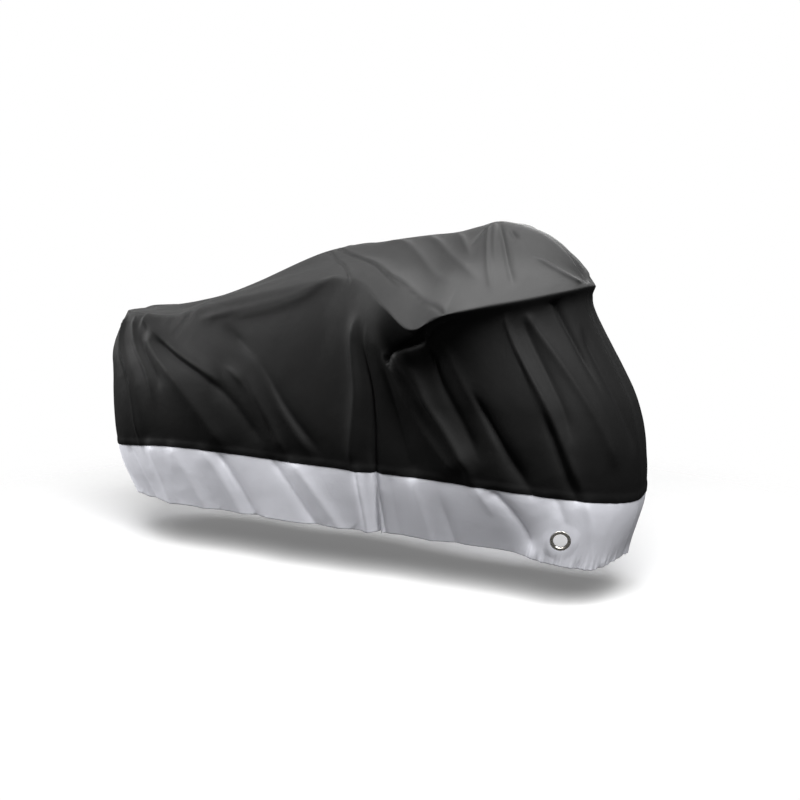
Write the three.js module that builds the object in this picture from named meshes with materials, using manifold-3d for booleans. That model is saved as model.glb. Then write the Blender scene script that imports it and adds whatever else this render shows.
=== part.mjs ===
// Fitted motorcycle cover of coated cloth, draped as it hangs in use.
// Millimetres, +Z up, +X towards the front of the cover, +Y towards its left side.
// The cloth is worked out as a map: a place is "along" millimetres round the two-tone seam from the
// rear centre, and "up" millimetres from the hem, and a few sections say where that place hangs.
import * as THREE from 'three';
import Module from 'manifold-3d';
import { mergeVertices } from 'three/addons/utils/BufferGeometryUtils.js';

const wasm = await Module();
wasm.setup();

// Cloth and seam sizes
const CLOTH = 2;
const HEM_THICKNESS = 3;
const SEAM_GAP = 0.7;
const CENTRE_GAP = 0.4;
const LAP_LOW = 214;
const LAP_HIGH = 226;

// Height of the crown's top above the floor. The finished group is lowered by it and the cloth, so
// the origin is the underside of the crown, where the cover is held up.
const CROWN_HEIGHT = 1185;

// Lock eyelets in the lower band, near the front
const EYELET_ALONG = 2117;
const EYELET_UP = 81;
const EYELET_OUTER_RADIUS = 33;
const EYELET_HOLE_RADIUS = 22;
const EYELET_BARREL = 1.4;
const EYELET_FLANGE = 1.3;
const EYELET_CLEARANCE = 0.5;
const CLOTH_HOLE_RADIUS = EYELET_HOLE_RADIUS + EYELET_BARREL + 0.6;
const FLAT_ALONG = 41;
const FLAT_UP = 46;

// Heights of the guide lines on the cloth, as millimetres up from the hem
const GUIDES = { hem: 0, seam: 220, waist: 450, under: 650, edge: 720, crest: 880, ridge: 1040 };
const LEVELS = Object.values(GUIDES);
const EDGE_LEVEL = 4;

// Half of the cover from the rear centre to the front centre, a row for each section.
// A guide point is [forward of the crown, out from the centre, height above the floor].
// tuck: how far the cloth turns in below the edge, drop: how far below, puff: rise of the crest
// above the straight line, crisp: 0 for a round edge and 1 for a creased one.
const SECTIONS = [
  { name: 'rear centre', hem: [-1492, 0, 200], seam: [-1575, 0, 330], waist: [-1595, 0, 580],
    edge: [-1532, 0, 820], ridge: [-1500, 0, 826], tuck: -40, drop: 80, puff: 0, crisp: 0.6 },
  { name: 'rear corner', hem: [-1455, 122, 182], seam: [-1535, 135, 340], waist: [-1555, 130, 580],
    edge: [-1520, 80, 824], ridge: [-1480, 0, 830], tuck: -40, drop: 80, puff: 0, crisp: 0.6 },
  { name: 'rear quarter', hem: [-1340, 220, 171], seam: [-1410, 248, 360], waist: [-1440, 225, 590],
    edge: [-1462, 122, 822], ridge: [-1420, 0, 838], tuck: -38, drop: 80, puff: 0, crisp: 0.6 },
  { name: 'tail side', hem: [-1150, 260, 168], seam: [-1180, 288, 385], waist: [-1200, 258, 600],
    edge: [-1270, 135, 822], ridge: [-1250, 0, 866], tuck: -35, drop: 70, puff: 0, crisp: 0.6 },
  { name: 'slope foot', hem: [-900, 252, 168], seam: [-920, 285, 388], waist: [-930, 262, 610],
    edge: [-1080, 142, 874], ridge: [-1040, 0, 922], tuck: -35, drop: 80, puff: 4, crisp: 0.4 },
  { name: 'slope', hem: [-650, 268, 168], seam: [-650, 288, 386], waist: [-660, 268, 615],
    edge: [-690, 155, 961], ridge: [-690, 0, 1062], tuck: -40, drop: 90, puff: 6, crisp: 0.4 },
  { name: 'slope head', hem: [-390, 240, 170], seam: [-380, 285, 386], waist: [-400, 272, 620],
    edge: [-450, 172, 990], ridge: [-430, 0, 1109], tuck: -40, drop: 90, puff: 6, crisp: 0.8 },
  { name: 'pocket tip', hem: [-230, 232, 170], seam: [-210, 288, 388], waist: [-235, 280, 620],
    edge: [-268, 288, 926], ridge: [-270, 0, 1133], tuck: 0, drop: 75, puff: 10, crisp: 0.9 },
  { name: 'hood wing', hem: [-110, 228, 170], seam: [-90, 292, 390], waist: [-110, 288, 620],
    edge: [-120, 368, 864], ridge: [-160, 0, 1146], tuck: 66, drop: 50, puff: 12, crisp: 0.95 },
  { name: 'hood side', hem: [20, 226, 170], seam: [50, 294, 389], waist: [30, 290, 620],
    edge: [-20, 358, 908], ridge: [-75, 0, 1167], tuck: 66, drop: 48, puff: 15, crisp: 0.9 },
  { name: 'hood shoulder', hem: [160, 222, 170], seam: [200, 292, 382], waist: [175, 285, 620],
    edge: [86, 300, 937], ridge: [10, 0, 1185], tuck: 34, drop: 55, puff: 18, crisp: 0.9 },
  { name: 'brow side', hem: [310, 228, 150], seam: [370, 250, 372], waist: [342, 232, 620],
    edge: [198, 210, 961], ridge: [140, 0, 1156], tuck: 14, drop: 50, puff: 18, crisp: 0.9 },
  { name: 'front corner', hem: [402, 140, 128], seam: [462, 138, 352], waist: [427, 127, 620],
    edge: [290, 98, 984], ridge: [235, 0, 1092], tuck: 12, drop: 45, puff: 10, crisp: 0.9 },
  { name: 'front centre', hem: [436, 0, 138], seam: [495, 0, 340], waist: [460, 0, 620],
    edge: [312, 0, 992], ridge: [290, 0, 1015], tuck: 10, drop: 45, puff: 0, crisp: 0.8 },
];

// Main folds, a row for each. from and to are [along, up] on the cloth, bow is the sideways bend
// of the line, width runs from its start to its end, and depth is out of the cloth, or in where
// it is negative. A step stands proud on the left of its line by that share of its depth and
// is sunk on the right by the rest. fade is the share of the length over which it starts and ends.
const RIGHT_FOLDS = [
  { name: 'tail rib', from: [252, 712], to: [440, 160], bow: 30,
    width: [24, 30], depth: 11, fade: [0.06, 0.25] },
  { name: 'tail facet', from: [395, 714], to: [800, 455], bow: 20,
    width: [30, 46], depth: 16, fade: [0.06, 0.15] },
  { name: 'tail valley', from: [490, 655], to: [990, 255], bow: 16,
    width: [30, 38], depth: -12, fade: [0.15, 0.15] },
  { name: 'tail sweep', from: [440, 680], to: [850, 210], bow: -22,
    width: [32, 50], depth: 13, fade: [0.1, 0.15] },
  { name: 'middle sweep', from: [835, 525], to: [1090, 225], bow: 18,
    width: [26, 34], depth: 11, fade: [0.2, 0.2] },
  { name: 'long fold', from: [915, 600], to: [1200, 230], bow: -5,
    width: [26, 34], depth: 11, fade: [0.2, 0.2] },
  { name: 'long trough', from: [870, 655], to: [1240, 235], bow: -9,
    width: [26, 32], depth: -9, fade: [0.15, 0.2] },
  { name: 'seat edge', from: [760, 684], to: [1300, 746], bow: -27,
    width: [24, 26], depth: 5, fade: [0.15, 0.15] },
  { name: 'upright fold', from: [1432, 660], to: [1346, 190], bow: -20,
    width: [28, 28], depth: 15, fade: [0.15, 0.2] },
  { name: 'upright trough', from: [1458, 640], to: [1430, -20], bow: -13,
    width: [16, 16], depth: -20, fade: [0.35, 0.01] },
  { name: 'first crease', from: [1085, 1045], to: [1352, 706], bow: -14,
    width: [30, 34], depth: 11, step: 0.5, fade: [0.06, 0.16] },
  { name: 'second crease', from: [1130, 1030], to: [1560, 804], bow: -50,
    width: [34, 38], depth: 8, step: 0.6, fade: [0.06, 0.2] },
  { name: 'corner crease', from: [1440, 822], to: [1800, 724], bow: 36,
    width: [34, 36], depth: 10, step: 0.6, fade: [0.25, 0.05] },
  { name: 'pocket', from: [1523, 560], to: [1668, 706], bow: 12,
    width: [30, 40], depth: 24, step: 0.1, fade: [0.03, 0.1] },
  { name: 'pocket lip', from: [1900, 700], to: [1528, 572], bow: -48,
    width: [30, 36], depth: 24, step: 0.42, fade: [0.4, 0.05] },
  { name: 'hood pull', from: [1330, 1050], to: [1831, 800], bow: -10,
    width: [24, 26], depth: 5, fade: [0.06, 0.35] },
  { name: 'hood fold', from: [1490, 1040], to: [1938, 789], bow: 5,
    width: [24, 26], depth: 5, fade: [0.06, 0.3] },
  { name: 'hood dart', from: [1915, 1035], to: [2068, 762], bow: -2,
    width: [22, 22], depth: -7, fade: [0.06, 0.2] },
  { name: 'brow fold', from: [2005, 965], to: [2345, 768], bow: -2,
    width: [22, 22], depth: 6, fade: [0.1, 0.15] },
  { name: 'fan a', from: [1530, 590], to: [1800, 230], bow: -31,
    width: [26, 34], depth: 10, fade: [0.08, 0.15] },
  { name: 'fan b', from: [1550, 600], to: [1850, 215], bow: 5,
    width: [28, 36], depth: 16, fade: [0.05, 0.15] },
  { name: 'fan b trough', from: [1640, 650], to: [1840, 280], bow: -4,
    width: [26, 30], depth: -11, fade: [0.15, 0.25] },
  { name: 'fan c', from: [1740, 665], to: [1920, 290], bow: -11,
    width: [26, 30], depth: 8, fade: [0.15, 0.25] },
  { name: 'deep trough', from: [1815, 505], to: [2020, 190], bow: -6,
    width: [28, 34], depth: -20, fade: [0.2, 0.35] },
  { name: 'front fold', from: [2040, 680], to: [2175, 205], bow: -36,
    width: [24, 28], depth: 12, fade: [0.08, 0.2] },
  { name: 'front trough', from: [2040, 475], to: [2150, 195], bow: -10,
    width: [24, 26], depth: -13, fade: [0.25, 0.3] },
  { name: 'front valley', from: [2105, 650], to: [2120, 360], bow: -3,
    width: [24, 28], depth: -9, fade: [0.15, 0.3] },
  { name: 'front rib', from: [2112, 665], to: [2292, 300], bow: -11,
    width: [24, 28], depth: 10, fade: [0.1, 0.2] },
  { name: 'brow trough', from: [2200, 690], to: [2282, 470], bow: 0,
    width: [24, 24], depth: -12, fade: [0.08, 0.4] },
  { name: 'nose trough', from: [2300, 600], to: [2398, 340], bow: -12,
    width: [26, 28], depth: -11, fade: [0.15, 0.2] },
  { name: 'band fold a', from: [467, 260], to: [520, -20], bow: 0,
    width: [26, 30], depth: 10, fade: [0.25, 0.01] },
  { name: 'band fold b', from: [755, 240], to: [930, -20], bow: 8,
    width: [26, 28], depth: -8, fade: [0.25, 0.01] },
  { name: 'band fold c', from: [980, 250], to: [1195, -20], bow: 6,
    width: [26, 28], depth: -8, fade: [0.25, 0.01] },
  { name: 'band fold d', from: [1352, 260], to: [1392, -20], bow: 4,
    width: [24, 26], depth: 14, fade: [0.2, 0.01] },
  { name: 'band fold e', from: [1770, 260], to: [1862, 150], bow: 0,
    width: [28, 28], depth: 13, fade: [0.2, 0.3] },
  { name: 'band trough', from: [1850, 215], to: [2070, -10], bow: 10,
    width: [26, 28], depth: -13, fade: [0.15, 0.05] },
];

const LEFT_FOLDS = [
  { name: 'tail rib', from: [240, 710], to: [520, 150], bow: -10,
    width: [26, 34], depth: 10, fade: [0.1, 0.3] },
  { name: 'sweep', from: [420, 700], to: [900, 200], bow: 16,
    width: [34, 50], depth: 14, fade: [0.12, 0.25] },
  { name: 'sweep trough', from: [400, 600], to: [760, 100], bow: 10,
    width: [34, 44], depth: -12, fade: [0.18, 0.25] },
  { name: 'long fold', from: [700, 720], to: [1150, 60], bow: 20,
    width: [30, 40], depth: 13, fade: [0.12, 0.08] },
  { name: 'long trough', from: [640, 640], to: [1040, 40], bow: 20,
    width: [30, 40], depth: -12, fade: [0.15, 0.08] },
  { name: 'upright fold', from: [1300, 720], to: [1240, -20], bow: 8,
    width: [34, 30], depth: 14, fade: [0.2, 0.01] },
  { name: 'upright trough', from: [1350, 700], to: [1290, -20], bow: 6,
    width: [20, 18], depth: -15, fade: [0.2, 0.01] },
  { name: 'kink trough', from: [1060, 985], to: [1330, 735], bow: 0,
    width: [26, 26], depth: -10, fade: [0.1, 0.15] },
  { name: 'hood crease', from: [1180, 1050], to: [1770, 745], bow: -20,
    width: [36, 50], depth: 10, fade: [0.06, 0.1] },
  { name: 'hood fold', from: [1560, 1050], to: [1900, 810], bow: 0,
    width: [24, 24], depth: 5, fade: [0.05, 0.35] },
  { name: 'hood dart', from: [1900, 1050], to: [2010, 780], bow: 0,
    width: [22, 22], depth: -8, fade: [0.04, 0.25] },
  { name: 'brow fold', from: [2080, 960], to: [2310, 800], bow: 12,
    width: [22, 22], depth: 6, fade: [0.15, 0.15] },
  { name: 'pocket', from: [1535, 575], to: [1660, 710], bow: 10,
    width: [30, 40], depth: 20, step: 0.1, fade: [0.03, 0.1] },
  { name: 'pocket lip', from: [1880, 700], to: [1540, 585], bow: -44,
    width: [30, 36], depth: 22, step: 0.42, fade: [0.4, 0.05] },
  { name: 'fan a', from: [1550, 600], to: [1800, 120], bow: 12,
    width: [30, 30], depth: 14, fade: [0.05, 0.25] },
  { name: 'fan b', from: [1640, 640], to: [1980, 80], bow: 24,
    width: [30, 36], depth: 13, fade: [0.08, 0.15] },
  { name: 'fan b trough', from: [1780, 650], to: [2000, 200], bow: 20,
    width: [28, 36], depth: -12, fade: [0.15, 0.25] },
  { name: 'front fold', from: [1990, 690], to: [2120, 260], bow: 12,
    width: [24, 28], depth: 8, fade: [0.08, 0.3] },
  { name: 'front trough', from: [2120, 680], to: [2230, 260], bow: 8,
    width: [24, 28], depth: -10, fade: [0.08, 0.3] },
];

// Share of the slope that is taken away where the two halves roll over into each other
const RIDGE_ROLL = 0.75;

// The left side hangs a little unevenly: [height of the sway, its length along the cloth]
const LEFT_SWAY = { size: 6, length: 900 };

// Facets: stretches of columns along the cloth, closer at the upright fold and at the eyelet
const COLUMN_STRETCHES = [
  { to: 1340, columns: 36 },
  { to: 1383, columns: 2 },
  { to: 1433, columns: 3 },
  { to: 1480, columns: 2 },
  { to: EYELET_ALONG - 40, columns: 17 },
  { to: EYELET_ALONG + 40, columns: 4 },
  { to: Infinity, columns: 8 },
];
const BAND_ROWS = [0, EYELET_UP - 44, EYELET_UP, EYELET_UP + 44, 170, LAP_LOW, LAP_HIGH];
const UPPER_ROW_STRETCHES = [
  { to: LAP_HIGH, rows: 1 },
  { to: 246, rows: 1 },
  { to: 600, rows: 7 },
  { to: 720, rows: 4 },
  { to: 1040, rows: 6 },
];

function smoothStep(x) {
  const t = Math.min(Math.max(x, 0), 1);
  return t * t * (3 - 2 * t);
}

// Smooth curve through four numbers, from b to c as f runs from 0 to 1
function curve(a, b, c, d, f) {
  const linear = (c - a) * f;
  const square = (2 * a - 5 * b + 4 * c - d) * f * f;
  const cubic = (3 * b - a - 3 * c + d) * f * f * f;
  return 0.5 * (2 * b + linear + square + cubic);
}

// Row of the section table, also one past each end: its neighbour on the other side of the centre
function sectionRow(index) {
  const last = SECTIONS.length - 1;
  const mirrored = index < 0 || index > last;
  const row = SECTIONS[index < 0 ? -index : index > last ? 2 * last - index : index];
  return { row, out: mirrored ? -1 : 1 };
}

// Guide point or number of the sections at parameter t, counted in rows
function sectionValue(key, t) {
  const i = Math.min(Math.max(Math.floor(t), 0), SECTIONS.length - 2);
  const rows = [i - 1, i, i + 1, i + 2].map(sectionRow);
  if (!Array.isArray(rows[0].row[key])) {
    return curve(...rows.map((r) => r.row[key]), t - i);
  }
  const side = (r, axis) => (axis === 1 ? r.out : 1);
  return [0, 1, 2].map((axis) => curve(...rows.map((r) => r.row[key][axis] * side(r, axis)), t - i));
}

// Ridge line: it runs along the centre, so it isn't mirrored at its ends
function ridgeValue(t) {
  const last = SECTIONS.length - 1;
  const i = Math.min(Math.max(Math.floor(t), 0), last - 1);
  const point = (n) => SECTIONS[n].ridge;
  const before = i > 0 ? point(i - 1) : point(0).map((v, axis) => 2 * v - point(1)[axis]);
  const after = i < last - 1 ? point(i + 2) : point(last).map((v, axis) => 2 * v - point(last - 1)[axis]);
  const rows = [before, point(i), point(i + 1), after];
  return [0, 1, 2].map((axis) => curve(...rows.map((row) => row[axis]), t - i));
}

// Section parameter for a distance along the two-tone seam
const SEAM_STEPS = 2200;
const seamLengths = [0];
for (let step = 1; step <= SEAM_STEPS; step += 1) {
  const t0 = ((step - 1) / SEAM_STEPS) * (SECTIONS.length - 1);
  const t1 = (step / SEAM_STEPS) * (SECTIONS.length - 1);
  const a = new THREE.Vector3(...sectionValue('seam', t0));
  const b = new THREE.Vector3(...sectionValue('seam', t1));
  seamLengths.push(seamLengths[step - 1] + a.distanceTo(b));
}
const HALF_ROUND = seamLengths[SEAM_STEPS];

function sectionAt(along) {
  let low = 0;
  let high = SEAM_STEPS;
  while (high - low > 1) {
    const middle = (low + high) >> 1;
    if (seamLengths[middle] <= along) {
      low = middle;
    } else {
      high = middle;
    }
  }
  const share = (along - seamLengths[low]) / (seamLengths[high] - seamLengths[low]);
  return ((low + share) / SEAM_STEPS) * (SECTIONS.length - 1);
}

// The guide points of one section, from the hem to the ridge
function guidePoints(t) {
  const last = SECTIONS.length - 1;
  const edge = sectionValue('edge', t);
  const ridge = ridgeValue(t);
  const before = sectionValue('edge', Math.max(t - 0.001, 0));
  const after = sectionValue('edge', Math.min(t + 0.001, last));
  const away = new THREE.Vector2(before[1] - after[1], after[0] - before[0]).normalize();
  const tuck = sectionValue('tuck', t);
  const under = [edge[0] - away.x * tuck, edge[1] - away.y * tuck, edge[2] - sectionValue('drop', t)];
  const crest = [0, 1, 2].map((axis) => 0.5 * (edge[axis] + ridge[axis]));
  crest[2] += sectionValue('puff', t);
  const lower = ['hem', 'seam', 'waist'].map((key) => sectionValue(key, t));
  return [...lower, under, edge, crest, ridge];
}

// Smooth draped surface without folds, on the side where out is positive
function drape(along, up) {
  const t = sectionAt(along);
  const points = guidePoints(t);
  const crisp = sectionValue('crisp', t);
  const slopes = LEVELS.slice(1).map((level, i) => (
    points[i].map((value, axis) => (points[i + 1][axis] - value) / (level - LEVELS[i]))
  ));
  const tangent = (i, axis, fromBelow) => {
    if (i === 0) {
      return slopes[0][axis];
    }
    if (i === LEVELS.length - 1) {
      return slopes[i - 1][axis] * (axis === 2 ? 1 - RIDGE_ROLL : 1);
    }
    const below = LEVELS[i] - LEVELS[i - 1];
    const above = LEVELS[i + 1] - LEVELS[i];
    const mean = (slopes[i - 1][axis] * above + slopes[i][axis] * below) / (above + below);
    if (i !== EDGE_LEVEL) {
      return mean;
    }
    return (1 - crisp) * mean + crisp * slopes[fromBelow ? i - 1 : i][axis];
  };
  let i = 0;
  while (i < LEVELS.length - 2 && up >= LEVELS[i + 1]) {
    i += 1;
  }
  const height = LEVELS[i + 1] - LEVELS[i];
  const f = (up - LEVELS[i]) / height;
  return new THREE.Vector3(...[0, 1, 2].map((axis) => (
    (2 * f ** 3 - 3 * f ** 2 + 1) * points[i][axis]
    + (f ** 3 - 2 * f ** 2 + f) * height * tangent(i, axis, false)
    + (3 * f ** 2 - 2 * f ** 3) * points[i + 1][axis]
    + (f ** 3 - f ** 2) * height * tangent(i + 1, axis, true)
  )));
}

// How far one fold lifts the cloth at a place
function foldHeight(fold, along, up) {
  const run = [fold.to[0] - fold.from[0], fold.to[1] - fold.from[1]];
  const length = Math.hypot(...run);
  const offset = [along - fold.from[0], up - fold.from[1]];
  const share = (offset[0] * run[0] + offset[1] * run[1]) / length ** 2;
  const bend = fold.bow * 4 * share * (1 - share);
  const across = (offset[1] * run[0] - offset[0] * run[1]) / length - bend;
  const width = fold.width[0] + (fold.width[1] - fold.width[0]) * Math.min(Math.max(share, 0), 1);
  const ends = smoothStep(share / fold.fade[0]) * smoothStep((1 - share) / fold.fade[1]);
  if (!fold.step) {
    return fold.depth * Math.exp(-((across / width) ** 2)) * ends;
  }
  const edge = width / 4;
  const proud = smoothStep((across + edge) / (2 * edge)) * Math.exp(-Math.max(across, 0) / width);
  const sunk = smoothStep((edge - across) / (2 * edge)) * Math.exp(Math.min(across, 0) / width);
  return fold.depth * (fold.step * proud - (1 - fold.step) * sunk) * ends;
}

// All folds of a side, dying out at the centre seam so that both halves meet there
function foldsHeight(left, along, up) {
  const folds = left ? LEFT_FOLDS : RIGHT_FOLDS;
  const sum = folds.reduce((total, fold) => total + foldHeight(fold, along, up), 0);
  const sway = left ? LEFT_SWAY.size * Math.sin((along / LEFT_SWAY.length) * 2 * Math.PI) : 0;
  const ends = smoothStep(along / 60) * smoothStep((HALF_ROUND - along) / 60);
  return (sum + sway) * ends * smoothStep((GUIDES.ridge - up) / 60);
}

// Outward direction of a surface given as a function of (along, up)
function outward(surface, along, up) {
  const step = 2;
  const a0 = surface(Math.max(along - step, 0), up);
  const a1 = surface(Math.min(along + step, HALF_ROUND), up);
  const u0 = surface(along, Math.max(up - step, 0));
  const u1 = surface(along, Math.min(up + step, GUIDES.ridge));
  return a1.sub(a0).cross(u1.sub(u0)).negate().normalize();
}

function folded(left) {
  return (along, up) => {
    const lift = foldsHeight(left, along, up);
    return drape(along, up).addScaledVector(outward(drape, along, up), lift);
  };
}

// Lays the cloth flat around the eyelet, where its flanges clamp it
function eyeletPlane(left) {
  const surface = folded(left);
  const centre = surface(EYELET_ALONG, EYELET_UP);
  const up = surface(EYELET_ALONG, EYELET_UP + 44).sub(surface(EYELET_ALONG, EYELET_UP - 44));
  const along = surface(EYELET_ALONG + 40, EYELET_UP).sub(surface(EYELET_ALONG - 40, EYELET_UP));
  return { centre, normal: along.cross(up).negate().normalize() };
}

function clothSurface(left) {
  const surface = folded(left);
  const plane = eyeletPlane(left);
  return (along, up) => {
    const point = surface(along, up);
    const nearAlong = Math.abs(along - EYELET_ALONG) < FLAT_ALONG;
    const nearUp = Math.abs(up - EYELET_UP) < FLAT_UP;
    if (nearAlong && nearUp) {
      point.addScaledVector(plane.normal, -point.clone().sub(plane.centre).dot(plane.normal));
    }
    return point;
  };
}

// Column and row places from the tables of stretches
function columnPlaces() {
  const places = [0];
  for (const stretch of COLUMN_STRETCHES) {
    const from = places[places.length - 1];
    const to = Math.min(stretch.to, HALF_ROUND);
    for (let n = 1; n <= stretch.columns; n += 1) {
      places.push(from + ((to - from) * n) / stretch.columns);
    }
  }
  return places;
}

function upperRows() {
  const rows = [LAP_LOW];
  for (const stretch of UPPER_ROW_STRETCHES) {
    const from = rows[rows.length - 1];
    for (let n = 1; n <= stretch.rows; n += 1) {
      rows.push(from + ((stretch.to - from) * n) / stretch.rows);
    }
  }
  return rows;
}

// Closed solid of one cloth panel. lift(up) moves the sheet out, thickness(up) is measured inwards.
function panelSolid(left, rows, lift, thickness) {
  const surface = clothSurface(left);
  const columns = columnPlaces();
  const skin = [];
  const lining = [];
  for (const along of columns) {
    for (const up of rows) {
      const normal = outward(surface, along, up);
      const onCentre = along === 0 || along === columns[columns.length - 1] || up === GUIDES.ridge;
      if (onCentre) {
        normal.y = 0;
        normal.normalize();
      }
      const point = surface(along, up);
      if (onCentre) {
        point.y = CENTRE_GAP / 2;
      }
      const outer = point.clone().addScaledVector(normal, lift(up));
      skin.push(outer);
      lining.push(outer.clone().addScaledVector(normal, -thickness(up)));
    }
  }
  const side = left ? 1 : -1;
  const positions = [...skin, ...lining].flatMap((p) => [p.x, p.y * side, p.z - CROWN_HEIGHT + CLOTH]);
  const across = rows.length;
  const count = skin.length;
  const triangles = [];
  const quad = (a, b, c, d) => {
    const corners = left ? [a, b, c, d] : [a, d, c, b];
    triangles.push(corners[0], corners[1], corners[2], corners[0], corners[2], corners[3]);
  };
  for (let i = 0; i < columns.length - 1; i += 1) {
    for (let j = 0; j < across - 1; j += 1) {
      const a = i * across + j;
      const b = a + across;
      quad(a + 1, b + 1, b, a);
      quad(count + a + 1, count + a, count + b, count + b + 1);
    }
    const low = i * across;
    const high = low + across - 1;
    quad(low, low + across, count + low + across, count + low);
    quad(high + across, high, count + high, count + high + across);
  }
  for (let j = 0; j < across - 1; j += 1) {
    const end = (columns.length - 1) * across + j;
    quad(j + 1, j, count + j, count + j + 1);
    quad(end, end + 1, count + end + 1, count + end);
  }
  const geometry = new THREE.BufferGeometry();
  geometry.setAttribute('position', new THREE.Float32BufferAttribute(positions, 3));
  geometry.setIndex(triangles);
  return geometry;
}

function toManifold(geometry) {
  const plain = geometry.clone();
  plain.deleteAttribute('normal');
  plain.deleteAttribute('uv');
  const merged = mergeVertices(plain, 0.001);
  return new wasm.Manifold(new wasm.Mesh({
    numProp: 3,
    vertProperties: new Float32Array(merged.attributes.position.array),
    triVerts: new Uint32Array(merged.index.array),
  }));
}

function fromManifold(solid) {
  const mesh = solid.getMesh();
  const geometry = new THREE.BufferGeometry();
  geometry.setAttribute('position', new THREE.Float32BufferAttribute(mesh.vertProperties, 3));
  geometry.setIndex(Array.from(mesh.triVerts));
  return geometry;
}

// Matrix that stands a lathe's axis on the cloth at the eyelet, with its origin on the outer face
function eyeletMatrix(left) {
  const { centre, normal } = eyeletPlane(left);
  const side = left ? 1 : -1;
  const place = new THREE.Vector3(centre.x, centre.y * side, centre.z - CROWN_HEIGHT + CLOTH);
  const axis = new THREE.Vector3(normal.x, normal.y * side, normal.z);
  const turn = new THREE.Quaternion().setFromUnitVectors(new THREE.Vector3(0, 1, 0), axis);
  return new THREE.Matrix4().compose(place, turn, new THREE.Vector3(1, 1, 1));
}

// Eyelet: a barrel through the cloth with a rolled flange on each face
function eyeletGeometry() {
  const hole = EYELET_HOLE_RADIUS;
  const barrel = hole + EYELET_BARREL;
  const rim = EYELET_OUTER_RADIUS;
  const face = EYELET_CLEARANCE;
  const back = -CLOTH - EYELET_CLEARANCE;
  const profile = [
    [hole, back - EYELET_FLANGE],
    [rim - 3, back - EYELET_FLANGE],
    [rim - 2, back],
    [barrel, back],
    [barrel, face],
    [rim, face],
    [rim - 1.5, face + EYELET_FLANGE],
    [rim - 6, face + EYELET_FLANGE * 1.7],
    [hole + 2, face + EYELET_FLANGE * 1.3],
    [hole, face],
    [hole, back - EYELET_FLANGE],
  ].map(([r, y]) => new THREE.Vector2(r, y));
  return new THREE.LatheGeometry(profile, 24);
}

const blackCloth = new THREE.MeshStandardMaterial({ color: 0x232325, roughness: 0.55, metalness: 0 });
const silverCloth = new THREE.MeshStandardMaterial({ color: 0xb4b5ba, roughness: 0.45, metalness: 0.35 });
const nickel = new THREE.MeshStandardMaterial({ color: 0xc9c4b8, roughness: 0.3, metalness: 1 });

function addMesh(group, name, geometry, material) {
  const mesh = new THREE.Mesh(geometry, material);
  mesh.name = name;
  group.add(mesh);
}

function buildSide(group, left) {
  const label = left ? 'left' : 'right';
  const lapLift = (up) => (up <= LAP_HIGH ? CLOTH + SEAM_GAP : 0);
  const upper = panelSolid(left, upperRows(), lapLift, () => CLOTH);
  addMesh(group, `upper_panel_${label}`, upper, blackCloth);

  const hemThickness = (up) => (up < 20 ? HEM_THICKNESS : CLOTH);
  const band = toManifold(panelSolid(left, BAND_ROWS, () => 0, hemThickness));
  const punch = new THREE.CylinderGeometry(CLOTH_HOLE_RADIUS, CLOTH_HOLE_RADIUS, 30, 24);
  punch.applyMatrix4(eyeletMatrix(left));
  addMesh(group, `lower_band_${label}`, fromManifold(band.subtract(toManifold(punch))), silverCloth);

  const eyelet = eyeletGeometry();
  eyelet.applyMatrix4(eyeletMatrix(left));
  addMesh(group, `eyelet_${label}`, eyelet, nickel);
}

const group = new THREE.Group();
group.name = 'motorcycle_cover';
buildSide(group, false);
buildSide(group, true);

export default group;
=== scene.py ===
# %% [markdown]
# # A motorcycle cover of coated cloth
# The object is one big fitted cover: two black panels that meet along a centre seam, a silver band
# sewn round their lower edge, a gathered hem and a metal eyelet on each side near the front. It could
# be made by dropping a flat sheet on a dummy with cloth physics. Here the drape is worked out with
# numpy instead, because a map of the cloth puts every fold exactly where the real one has it.

# %% Frame
import bpy
import numpy as np
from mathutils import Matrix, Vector


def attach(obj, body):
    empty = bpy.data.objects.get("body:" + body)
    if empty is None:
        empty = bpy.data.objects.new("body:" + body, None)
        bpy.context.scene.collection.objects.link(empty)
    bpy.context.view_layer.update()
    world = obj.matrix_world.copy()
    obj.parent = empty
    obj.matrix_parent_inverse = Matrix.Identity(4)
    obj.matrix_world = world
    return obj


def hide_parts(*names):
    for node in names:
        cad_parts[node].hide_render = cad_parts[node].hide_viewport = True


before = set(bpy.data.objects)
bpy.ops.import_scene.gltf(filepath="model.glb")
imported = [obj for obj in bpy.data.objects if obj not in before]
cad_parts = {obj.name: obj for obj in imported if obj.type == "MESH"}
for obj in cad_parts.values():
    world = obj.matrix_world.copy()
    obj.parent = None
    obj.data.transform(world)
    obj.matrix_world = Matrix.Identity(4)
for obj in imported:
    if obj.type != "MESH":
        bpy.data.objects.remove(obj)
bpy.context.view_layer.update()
scene = bpy.context.scene

# %% [markdown]
# ## Camera
# The picture is taken from the right-hand side, a little behind the front, from just above the height
# of the cover. A long lens keeps the shape calm. The turn and the place are set as numbers, so the
# view stays the same however the cloth changes.

# %% Camera
CAMERA_PLACE = (2.3227, -4.3288, 0.2218)
CAMERA_TURN = 32.0        # degrees from looking along +Y towards -X
CAMERA_TILT = 9.26        # degrees below the horizon
CAMERA_LENS = 68.4        # millimetres on a 36 mm sensor

camera_data = bpy.data.cameras.new("camera")
camera_data.lens = CAMERA_LENS
camera_data.sensor_width = 36.0
camera_data.clip_end = 60.0
camera = bpy.data.objects.new("camera", camera_data)
camera.location = CAMERA_PLACE
camera.rotation_euler = (np.radians(90.0 - CAMERA_TILT), 0.0, np.radians(CAMERA_TURN))
scene.collection.objects.link(camera)
scene.camera = camera
print("camera at", CAMERA_PLACE)

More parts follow.
